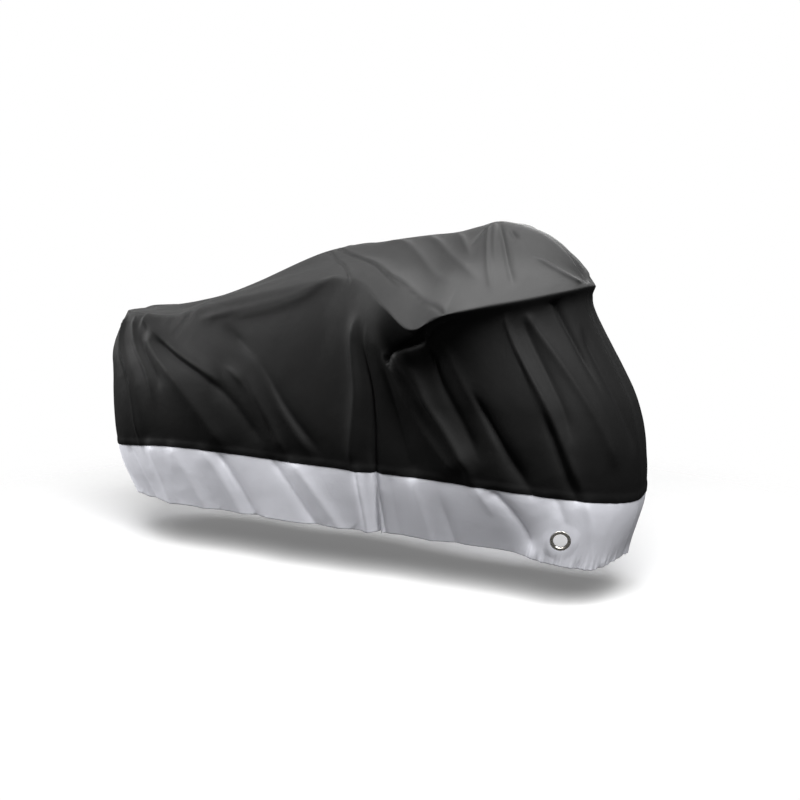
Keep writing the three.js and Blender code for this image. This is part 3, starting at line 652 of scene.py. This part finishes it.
for side, left in SIDES:
    along, up, points = panel_points(left, black_columns, black_rows, lap_lift)
    # the second mark is painted light, which makes the top and the hood's slope paler as if lit from above
    marks = {"bend": bentness(points, left).ravel(), "painted_light": painted_top_light(along, up).ravel()}
    piece = add_mesh(f"upper_cloth_{side}", points.reshape(-1, 3), grid_faces(*along.shape, left),
                     cloth_map(along, up), marks)
    give_thickness(piece)
    panels[side] = piece
    print(piece.name, along.shape, "area", round(area(points), 3))

# %% [markdown]
# ## The silver band
# The band hangs from the seam to the hem. An elastic in the hem gathers it at both ends of the cover,
# where it has to draw in under the cloth, and hardly at all along the sides. The gathers are waves
# across the hem that die out upwards.

# %% Gathers
GATHER = 3.4              # height of the gathers at the hem, mm
GATHER_REACH = 46.0       # how far up they go, mm
TURNED_HEM = 8.0          # height of the hem's own tube, which holds the full gathers, mm
LEAST_GATHER = 0.12       # share of the gathers that the long sides have
FRONT_FROM, FRONT_EASE = 1930, 150      # along, where the front's gathers begin and grow, mm
REAR_TO, REAR_EASE = 260, 200           # along, where the rear's gathers end and shrink, mm
SMOOTH_RADIUS, SMOOTH_EASE = 34, 30     # no gathers this near the eyelet, mm
END_EASE = 30             # over how many mm the gathers die out at the centre


def gathers(along, up, left):
    """Waves of uneven length round the hem, high near the two ends of the cover and low between."""
    ends = np.maximum(smooth((along - FRONT_FROM) / FRONT_EASE), smooth((REAR_TO - along) / REAR_EASE))
    strength = LEAST_GATHER + (1 - LEAST_GATHER) * ends
    wave = patches(along, 0 * along, 7.5, 71 + left) + 0.7 * patches(along, 0 * along, 14, 73 + left)
    wide = patches(along, 0 * along, 33, 75 + left)
    above = np.maximum(up - TURNED_HEM, 0)
    near, far = np.exp(-above / (0.45 * GATHER_REACH)), np.exp(-above / GATHER_REACH)
    eyelet = smooth((np.hypot(along - EYELET_ALONG, up - EYELET_UP) - SMOOTH_RADIUS) / SMOOTH_EASE)
    centre = smooth(along / END_EASE) * smooth((HALF_ROUND - along) / END_EASE)
    return GATHER * strength * (0.8 * wave * near + 0.9 * wide * far) * eyelet * centre


hem = gathers(np.linspace(0, HALF_ROUND, 2400), np.zeros(2400), False)
print("gathers reach from", round(float(hem.min()), 1), "to", round(float(hem.max()), 1), "mm")

# %% [markdown]
# ## The hole under the eyelet
# The eyelet's barrel goes through the band. A boolean could cut the hole, but the grid is known, so the
# faces in it are left out and the points at its rim are pushed onto the circle.

# %% Silver band
HOLE_RADIUS = 25.5        # hole in the cloth, under the eyelet's rings, mm
HOLE_MARGIN = 1.5         # a face goes where its middle is nearer the hole than this, mm


def cut_hole(places, faces, centre):
    """Points and faces without those in the eyelet's hole. Points left inside its radius are pushed
    out to it from the centre. Also gives the old numbers of the points that stay."""
    from_centre = np.linalg.norm(places[faces].mean(1) - centre, axis=1) * 1000
    kept = faces[from_centre > HOLE_RADIUS + HOLE_MARGIN]
    radius = np.linalg.norm(places - centre, axis=1, keepdims=True) * 1000
    rim = centre + (places - centre) * (HOLE_RADIUS / np.maximum(radius, 1e-6))
    used = np.unique(kept)
    number = np.zeros(len(places), int)
    number[used] = np.arange(len(used))
    return np.where(radius < HOLE_RADIUS, rim, places)[used], number[kept], used


bands = {}
silver_columns = spread((0,), (300, 90), (1900, 330), (HALF_ROUND, 190))
silver_rows = spread((0,), (30, 10), (LAP_LOW, 36), (LAP_HIGH, 4))
for side, left in SIDES:
    along, up, points = panel_points(left, silver_columns, silver_rows, lambda a, u: gathers(a, u, left))
    centre = to_frame(eyelet_plane(left)[0], left)
    places, faces, used = cut_hole(points.reshape(-1, 3), grid_faces(*along.shape, left), centre)
    piece = add_mesh(f"lower_cloth_{side}", places, faces, cloth_map(along, up)[used],
                     {"bend": bentness(points, left).ravel()[used]})
    give_thickness(piece)
    bands[side] = piece
    print(piece.name, along.shape, "area", round(area(points), 3))

# %% [markdown]
# ## Stitches
# The lap is sewn down with two rows of stitches, and one row runs beside the centre seam on each
# half. A stitch is a short bead of thread, a few millimetres long. It has few faces, because there
# are hundreds of them. All beads of a row are one mesh.

# %% Beads
BEAD_RINGS = np.array([-1.0, -0.72, 0.0, 0.72, 1.0])      # places of its rings, in half lengths
BEAD_SIDES = 6
BEAD_CAPS = [[0, 1, 2, 3], [3, 4, 5, 0], [27, 26, 25, 24], [24, 29, 28, 27]]      # two faces an end
BEAD_POINTS = len(BEAD_RINGS) * BEAD_SIDES


def sleeve_faces(rings, sides, closed=False):
    """Quads between neighbour rings of points, all the way round, and from the last ring to the
    first if closed."""
    t, k = (n.ravel() for n in np.indices((rings if closed else rings - 1, sides)))
    u, l = (t + 1) % rings, (k + 1) % sides
    return np.stack([t * sides + k, u * sides + k, u * sides + l, t * sides + l], 1)


def beads(name, points, ahead, out, length, width, rise):
    """A bead at each point: rings of six points carried along `ahead`, swollen in the middle as the
    square root of one less the square of the distance from it. Its lower half lies in the cloth."""
    side = unit(np.cross(ahead, out))
    swell = np.sqrt(np.maximum(1 - BEAD_RINGS ** 2, 0.02))
    turn = np.arange(BEAD_SIDES) * 2 * np.pi / BEAD_SIDES
    ring = swell[:, None, None] * (np.cos(turn)[None, :, None] * side[:, None, None] * width / 2
                                   + np.sin(turn)[None, :, None] * out[:, None, None] * rise / 2)
    centre = points[:, None, None] + BEAD_RINGS[None, :, None, None] * ahead[:, None, None] * length / 2
    bead = np.vstack([sleeve_faces(len(BEAD_RINGS), BEAD_SIDES), BEAD_CAPS])
    faces = bead[None] + BEAD_POINTS * np.arange(len(points))[:, None, None]
    return add_mesh(name, (centre + ring).reshape(-1, 3), faces.reshape(-1, 4))


print("a bead has", BEAD_POINTS, "points")

# %% Stitch rows
def stitch_row(left, along, up, lift):
    """Centres, running directions and outward directions of stitches at places on the cloth."""
    surface = cloth(left)
    out = outward(surface, along, up)
    places = to_frame(surface(along, up) + out * lift[:, None], left)
    return places, unit(np.gradient(places, axis=0)), turned(out, left)


STITCH_PITCH = 4.6        # mm from stitch to stitch
STITCH_LIFT = 0.1         # how far a stitch's middle stands off the cloth, mm
SEAM_ROWS = (218.0, 226.5)      # up of the two rows beside the seam
FIRST_STITCH, LAST_STITCH = 6.0, 4.0    # how far from the centres a seam row begins and ends, mm
CENTRE_LENGTH, CENTRE_INSET, CENTRE_DROP = 1990.0, 70.0, 7.0    # the centre row's run and place, mm
STITCH = {"length": 0.0034, "width": 0.0009, "rise": 0.0009}    # metres


def seam_stitches(side, left):
    """Two rows of stitches, below and above the lap's edge."""
    along = np.arange(FIRST_STITCH, HALF_ROUND - LAST_STITCH, STITCH_PITCH)
    rows = []
    for level in SEAM_ROWS:
        up = np.full(len(along), level)
        rows.append(stitch_row(left, along, up, lap_lift(along, up) + STITCH_LIFT))
    return beads(f"seam_stitches_{side}", *[np.concatenate(part) for part in zip(*rows)], **STITCH)


def centre_stitches(side, left):
    """One row a few millimetres below the ridge, in even steps of the ridge's own length."""
    share = np.arange(0, CENTRE_LENGTH, STITCH_PITCH) / CENTRE_LENGTH
    along = CENTRE_INSET + share * (HALF_ROUND - 2 * CENTRE_INSET)
    row = stitch_row(left, along, np.full(len(along), RIDGE - CENTRE_DROP), np.full(len(along), STITCH_LIFT))
    return beads(f"centre_stitches_{side}", *row, **STITCH)


seam_rows = {side: seam_stitches(side, left) for side, left in SIDES}
centre_rows = {side: centre_stitches(side, left) for side, left in SIDES}
points = sum(len(row.data.vertices) for row in (*seam_rows.values(), *centre_rows.values()))
print(points // BEAD_POINTS, "stitches")

# %% [markdown]
# ## Hem thread
# The raw edge of the hem is caught by a zigzag of pale thread. It is a thin square tube that swings up
# and down on the outer face of the band, just above its edge.

# %% Hem thread
THREAD_SIDES = 4


def tube(name, path, radius):
    """Tube round a path of points: at each, four points of the given radius square to the path."""
    ahead = unit(np.gradient(path, axis=0))
    across = unit(np.cross(ahead, [0, 0, 1.0]))
    over = np.cross(across, ahead)
    turn = (np.arange(THREAD_SIDES) + 0.5) * 2 * np.pi / THREAD_SIDES
    c, s = np.cos(turn)[None, :, None], np.sin(turn)[None, :, None]
    places = (path[:, None] + radius * (c * across[:, None] + s * over[:, None])).reshape(-1, 3)
    faces = sleeve_faces(len(path), THREAD_SIDES)[:, [0, 3, 2, 1]]      # wound the other way round
    last = (len(path) - 1) * THREAD_SIDES
    caps = np.array([[3, 2, 1, 0], [last, last + 1, last + 2, last + 3]])
    return add_mesh(name, places, np.vstack([faces, caps]))


ZIGZAG_PITCH, ZIGZAG_UP, ZIGZAG_SWING = 5.0, 2.6, 2.4      # mm
ZIGZAG_END = 2.0          # how far from the centre it ends, mm
ZIGZAG_POINTS = 4         # points of the path in each pitch
THREAD_LIFT = 0.35        # how far the thread's middle stands off the cloth, mm
THREAD_RADIUS = 0.00055   # metres
hem_threads = {}
for side, left in SIDES:
    count = int((HALF_ROUND - 2 * ZIGZAG_END) / ZIGZAG_PITCH * ZIGZAG_POINTS)
    along = np.linspace(ZIGZAG_END, HALF_ROUND - ZIGZAG_END, count)
    up = ZIGZAG_UP + ZIGZAG_SWING * np.cos(along / ZIGZAG_PITCH * 2 * np.pi)
    path = stitch_row(left, along, up, gathers(along, up, left) + THREAD_LIFT)[0]
    hem_threads[side] = tube(f"hem_thread_{side}", path, THREAD_RADIUS)
    print(hem_threads[side].name, count, "rings")

# %% [markdown]
# ## Eyelets
# Each eyelet is a turned ring of nickel-plated brass: a barrel through the cloth, a rounded flange
# outside and a flat washer inside. A turned part is a profile carried round its axis.

# %% Eyelets
# radius, height over the cloth's outer face, in mm
RING_PROFILE = [(22.0, -3.8), (30.0, -3.8), (31.0, -3.4), (31.0, -2.6), (23.4, -2.5), (23.4, 0.4),
                (32.4, 0.4), (33.0, 0.8), (32.6, 1.5), (31.0, 2.2), (28.5, 2.7), (26.0, 2.8), (24.0, 2.4),
                (22.8, 1.6), (22.1, 0.6), (22.0, -1.0)]
RING_STEPS = 72


def ring_mesh(name, left):
    """The profile turned round the eyelet's axis: radius times cosine and sine across it, height
    along it. The last profile point joins the first, and the last turn the first."""
    centre, normal = eyelet_plane(left)
    centre, axis = to_frame(centre, left), turned(normal, left)
    across = unit(np.cross(axis, [0, 0, 1.0]))
    over = np.cross(axis, across)
    r, h = np.array(RING_PROFILE).T / 1000.0
    turn = (np.arange(RING_STEPS) * 2 * np.pi / RING_STEPS)[:, None, None]
    places = (centre + r[None, :, None] * (np.cos(turn) * across + np.sin(turn) * over)
              + h[None, :, None] * axis)
    return add_mesh(name, places.reshape(-1, 3), sleeve_faces(RING_STEPS, len(r), closed=True))


rings = {side: ring_mesh(f"ring_{side}", left) for side, left in SIDES}
print("rings:", [ring.name for ring in rings.values()])

# %% [markdown]
# ## Short words for nodes
# A material is a tree of nodes whose sockets hold values or are linked to one another. Written out,
# each takes several lines, so a few functions say it in one.

# %% Node helpers
def feed(tree, fed, sockets):
    """Give each named socket of a node its value, or link it to the output given for it."""
    for key, value in sockets.items():
        if isinstance(value, bpy.types.NodeSocket):
            tree.links.new(value, fed.inputs[key])
        else:
            fed.inputs[key].default_value = value


def node(tree, kind, sockets=None, **settings):
    """A new node with its settings by name and its sockets fed."""
    made = tree.nodes.new(kind)
    for key, value in settings.items():
        setattr(made, key, value)
    feed(tree, made, sockets or {})
    return made


def calculate(tree, operation, a, b=0.0, clamp=False):
    """A sum, product or sine of sockets or plain numbers."""
    return node(tree, "ShaderNodeMath", {0: a, 1: b}, operation=operation, use_clamp=clamp).outputs[0]


def noise(tree, place, scale, detail, roughness=0.5, distortion=0.0):
    """Soft random values from 0 to 1 at a place."""
    sockets = {"Vector": place, "Scale": scale, "Detail": detail, "Roughness": roughness,
               "Distortion": distortion}
    return node(tree, "ShaderNodeTexNoise", sockets).outputs["Fac"]


def blend(tree, share, first, second):
    """The first colour where the share is 0, the second where it is 1."""
    sockets = {"Factor": share, "A": (*first, 1), "B": (*second, 1)}
    return node(tree, "ShaderNodeMix", sockets, data_type="RGBA").outputs["Result"]


def between(tree, share, low, high):
    """A value that goes from low to high as the share goes from 0 to 1."""
    return node(tree, "ShaderNodeMapRange", {"Value": share, "To Min": low, "To Max": high}).outputs["Result"]


def new_material(name):
    """Empty material: itself, its tree and its shader."""
    material = bpy.data.materials.new(name)
    material.use_nodes = True
    return material, material.node_tree, material.node_tree.nodes["Principled BSDF"]


print("node helpers ready")

# %% [markdown]
# ## The weave
# Threads that go over and under each other make a tiny relief. Its height is the product of two sines,
# one for each set of threads. Both cloths use it, so it is a node group with named inputs, which each
# cloth places in its own material.

# %% Weave group
def new_group(name, inputs, outputs):
    """Empty shader group. inputs are (name, socket type, default), outputs (name, socket type)."""
    group = bpy.data.node_groups.new(name, "ShaderNodeTree")
    for label, kind, value in inputs:
        socket = group.interface.new_socket(name=label, in_out="INPUT", socket_type=kind)
        if value is not None:
            socket.default_value = value
    for label, kind in outputs:
        group.interface.new_socket(name=label, in_out="OUTPUT", socket_type=kind)
    return group, group.nodes.new("NodeGroupInput"), group.nodes.new("NodeGroupOutput")


weave, weave_in, weave_out = new_group(
    "plain weave",
    [("Cloth", "NodeSocketVector", None), ("Threads per metre", "NodeSocketFloat", 2000.0)],
    [("Height", "NodeSocketFloat")])
cloth_place, threads = weave_in.outputs["Cloth"], weave_in.outputs["Threads per metre"]
counted = node(weave, "ShaderNodeVectorMath", {0: cloth_place, "Scale": threads}, operation="SCALE")
parts = node(weave, "ShaderNodeSeparateXYZ", {0: counted.outputs[0]})
warp, weft = (calculate(weave, "SINE", calculate(weave, "MULTIPLY", parts.outputs[k], np.pi)) for k in (0, 1))
feed(weave, weave_out, {"Height": calculate(weave, "MULTIPLY", warp, weft)})
print("group:", weave.name)

# %% [markdown]
# ## Black and silver cloth
# The panels are taffeta with a matt rubbery coating. Their top carries painted light, which turns it
# from black to grey as if lit from above. The band's coating has aluminium in it. The colours hardly
# vary otherwise, so the look comes from a fine weave, small wrinkles, faint dust on bends and a gloss
# that is uneven like a coating rolled on by machine.

# %% Cloth materials
THREADS = 2200.0          # threads in each metre
SOFT = (6.0, 4.0, 0.6)    # scale, detail and roughness of the soft noise
GRAIN = (420.0, 2.0, 0.6)       # the same of the dust's
WRINKLE = (38.0, 3.0, 0.5, 0.6)       # the same of the small wrinkles', and their distortion
CLOUDY, DUSTY, WORN = 0.5, 0.35, 0.4    # how much each adds to the tone
FULLY_BENT = 2.0          # times the bend, up to 1
WRINKLE_BUMP, WRINKLE_DEPTH = 0.18, 0.004     # strength, and metres
WEAVE_BUMP, WEAVE_DEPTH = 0.25, 0.0002


def cloth_material(name, colour, lit_colour, roughness, metallic=0.0, specular=0.5, with_painted_light=False):
    """Woven, coated cloth. The colour runs between two near tones with a soft noise, bends are a
    little paler, and one bump carries wrinkles while a second carries the weave. Cloth with painted
    light has its brightness multiplied by the mesh's own mark for it, which paints the top paler as if lit."""
    material, tree, shader = new_material(name)
    uv = node(tree, "ShaderNodeUVMap", uv_map="cloth").outputs[0]
    soft, grain = noise(tree, uv, *SOFT), noise(tree, uv, *GRAIN)
    bend = node(tree, "ShaderNodeAttribute", attribute_name="bend").outputs["Fac"]
    worn = calculate(tree, "MULTIPLY", bend, FULLY_BENT, clamp=True)
    cloudy = calculate(tree, "MULTIPLY", soft, CLOUDY)
    dusty = calculate(tree, "ADD", cloudy, calculate(tree, "MULTIPLY", grain, DUSTY))
    tone = calculate(tree, "ADD", dusty, calculate(tree, "MULTIPLY", worn, WORN), clamp=True)
    tint = blend(tree, tone, colour, lit_colour)
    # painted light: the black is made paler on the top and the hood's slope, as if lit from above
    if with_painted_light:
        painted_light = node(tree, "ShaderNodeAttribute", attribute_name="painted_light").outputs["Fac"]
        tint = node(tree, "ShaderNodeHueSaturation", {"Value": painted_light, "Color": tint}).outputs["Color"]
    wrinkled = node(tree, "ShaderNodeBump", {"Strength": WRINKLE_BUMP, "Distance": WRINKLE_DEPTH,
                                             "Height": noise(tree, uv, *WRINKLE)})
    cloth_weave = node(tree, "ShaderNodeGroup", {"Cloth": uv, "Threads per metre": THREADS}, node_tree=weave)
    woven = node(tree, "ShaderNodeBump", {"Strength": WEAVE_BUMP, "Distance": WEAVE_DEPTH,
                                          "Height": cloth_weave.outputs["Height"],
                                          "Normal": wrinkled.outputs["Normal"]})
    feed(tree, shader, {"Base Color": tint, "Metallic": metallic, "Specular IOR Level": specular,
                        "Roughness": between(tree, soft, roughness - 0.05, roughness + 0.07),
                        "Normal": woven.outputs["Normal"]})
    return material


# the black panels carry painted light: paler on the top and the hood's slope, as if lit from above
black_cloth = cloth_material("black coated taffeta", (0.0086, 0.0086, 0.0086), (0.0164, 0.0164, 0.0164),
                             roughness=0.56, specular=0.1, with_painted_light=True)
silver_cloth = cloth_material("silver coated taffeta", (0.455, 0.458, 0.493), (0.615, 0.619, 0.667),
                              roughness=0.42, metallic=0.4)
print("cloths:", black_cloth.name, "and", silver_cloth.name)

# %% [markdown]
# ## Thread and nickel
# Thread is matt and fuzzy. The eyelet is polished nickel with tiny scratches, warm where the plating
# is thin.

# %% Thread and nickel materials
def thread_material(name, colour):
    """Matt twisted thread: two tones along its length."""
    material, tree, shader = new_material(name)
    place = node(tree, "ShaderNodeTexCoord").outputs["Object"]
    twist = noise(tree, place, 900.0, 1.0)
    feed(tree, shader, {"Base Color": blend(tree, twist, [c * 0.7 for c in colour], colour),
                        "Roughness": 0.8})
    return material


black_thread = thread_material("black thread", (0.02, 0.02, 0.021))
pale_thread = thread_material("pale thread", (0.82, 0.82, 0.80))

nickel, tree, shader = new_material("nickel plating")
place = node(tree, "ShaderNodeTexCoord").outputs["Object"]
thin_plating = noise(tree, place, 60.0, 2.0)
scratches = noise(tree, place, 700.0, 3.0)
feed(tree, shader, {"Base Color": blend(tree, thin_plating, (0.62, 0.60, 0.56), (0.74, 0.70, 0.62)),
                    "Roughness": between(tree, scratches, 0.18, 0.36), "Metallic": 1.0})
print("thread and nickel ready")

# %% [markdown]
# ## Putting the pieces on the frame
# Each piece takes its material and is hung on the root body, and the parts of the solid model that the
# pieces stand for are hidden.

# %% Materials and frame
for side in panels:
    panel, seam_row, centre_row = panels[side], seam_rows[side], centre_rows[side]
    band, hem_thread, ring = bands[side], hem_threads[side], rings[side]
    for piece, material, slot in (
            (panel, black_cloth, "black_cloth"), (seam_row, black_thread, "black_cloth"),
            (centre_row, black_thread, "black_cloth"), (band, silver_cloth, "silver_cloth"),
            (hem_thread, pale_thread, "silver_cloth"), (ring, nickel, "nickel")):
        piece.data.materials.append(material)
        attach(piece, "root")
    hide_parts(f"upper_panel_{side}")
    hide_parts(f"lower_band_{side}")
    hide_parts(f"eyelet_{side}")
    print(side, "panel and band declared")

# %% [markdown]
# ## Floor
# The floor is a big square that fades out with the distance. It is white for the camera only, so it
# throws no light up under the hem.

# %% Floor
FLOOR = (CLOTH - CROWN_HEIGHT) / 1000.0
MIDDLE_X = -0.5           # middle of the cover's length, metres
REACH = 7.0               # half the side of the floor, metres
CLEAR, GONE = 1.35, 2.3   # the floor fades between these distances from its middle, metres
floor_mesh = bpy.data.meshes.new("floor")
corners = [(x * REACH, y * REACH, FLOOR) for x, y in ((-1, -1), (1, -1), (1, 1), (-1, 1))]
floor_mesh.from_pydata(corners, [], [(0, 1, 2, 3)])
floor = bpy.data.objects.new("floor", floor_mesh)
scene.collection.objects.link(floor)

floor_material, tree, shader = new_material("pale floor")
camera_ray = node(tree, "ShaderNodeLightPath").outputs["Is Camera Ray"]
place = node(tree, "ShaderNodeTexCoord").outputs["Object"]
distance = node(tree, "ShaderNodeVectorMath", {0: place, 1: (MIDDLE_X, 0.0, FLOOR)}, operation="DISTANCE")
reach = {"Value": distance.outputs["Value"], "From Min": CLEAR, "From Max": GONE, "To Min": 1.0,
         "To Max": 0.0}
fade = node(tree, "ShaderNodeMapRange", reach, interpolation_type="SMOOTHSTEP")
feed(tree, shader, {"Base Color": blend(tree, camera_ray, (0.06, 0.06, 0.06), (0.92, 0.92, 0.92)),
                    "Roughness": 0.9, "Specular IOR Level": 0.1, "Emission Color": (1, 1, 1, 1),
                    "Emission Strength": calculate(tree, "MULTIPLY", camera_ray, 0.18),
                    "Alpha": fade.outputs["Result"]})
floor_mesh.materials.append(floor_material)
print("floor at", round(FLOOR, 3), "m")

# %% [markdown]
# ## Backdrop
# The camera sees a plain white backdrop. The cloth gets only a little light from it, or its darks would
# turn grey.

# %% Backdrop
world = bpy.data.worlds.new("studio")
scene.world = world
world.use_nodes = True
tree = world.node_tree
dim = tree.nodes["Background"]
feed(tree, dim, {"Color": (1, 1, 1, 1), "Strength": 0.08})
seen = node(tree, "ShaderNodeBackground", {"Color": (1, 1, 1, 1), "Strength": 1.0})
camera_ray = node(tree, "ShaderNodeLightPath").outputs["Is Camera Ray"]
both = node(tree, "ShaderNodeMixShader", {0: camera_ray, 1: dim.outputs[0], 2: seen.outputs[0]})
feed(tree, tree.nodes["World Output"], {"Surface": both.outputs[0]})
print("world:", world.name)

# %% [markdown]
# ## Light
# Black, silver and white in one picture each ask for their own light. So every softbox is linked to
# one collection: the panels, the band or the floor. The panels get most of it from above, which keeps
# the sides dark.

# %% Softboxes
MIDDLE = np.array([MIDDLE_X, 0.0, -0.5])
upper, lower, ground = (bpy.data.collections.new(name) for name in ("upper", "lower", "ground"))
for side in panels:
    for piece in (panels[side], seam_rows[side], centre_rows[side]):
        upper.objects.link(piece)
    for piece in (bands[side], hem_threads[side], rings[side]):
        lower.objects.link(piece)
ground.objects.link(floor)


def softbox(name, place, look_at, side, power, lit):
    """Square light at a place, turned to look at a point. It lights one collection only, and the
    camera doesn't see it."""
    data = bpy.data.lights.new(name, "AREA")
    data.shape, data.size, data.energy = "SQUARE", side, power
    light = bpy.data.objects.new(name, data)
    light.location = place
    light.rotation_euler = (Vector(look_at) - Vector(place)).to_track_quat("-Z", "Y").to_euler()
    light.visible_camera = False
    light.light_linking.receiver_collection = lit
    scene.collection.objects.link(light)
    return light


# turn from +X and rise above the horizon in degrees, power in watts, what it lights
SOFTBOXES = {
    "top front": (335, 58, 235.0, upper),
    "overhead": (285, 84, 220.0, upper),
    "back": (95, 35, 110.0, upper),
    "from behind": (117, 15, 600.0, upper),
    "tail light": (188, 20, 105.0, upper),
    "band left": (198, 22, 450.0, lower),
    "band front": (335, 32, 300.0, lower),
    "band near": (290, 30, 115.0, lower),
    "band far": (100, 25, 420.0, lower),
}
SOFTBOX_DISTANCE, SOFTBOX_SIDE = 4.0, 1.8      # metres
lamps = {}
for name, (turn, rise, power, lit) in SOFTBOXES.items():
    t, r = np.radians(turn), np.radians(rise)
    way = np.array([np.cos(t) * np.cos(r), np.sin(t) * np.cos(r), np.sin(r)])
    lamps[name] = softbox(name, MIDDLE + SOFTBOX_DISTANCE * way, MIDDLE, SOFTBOX_SIDE, power, lit)
lamps["from behind"].visible_glossy = False      # or it would draw a bright rim on the ridge
softbox("floor key", (1.6, -3.3, 3.2), (MIDDLE_X, 0.0, -1.0), 4.4, 480.0, ground)
softbox("floor light", (MIDDLE_X, 0.0, 4.4), (MIDDLE_X, 0.0, -1.2), 5.0, 110.0, ground)
scene.view_settings.view_transform = "Standard"
print(len(lamps), "softboxes on the cloth")
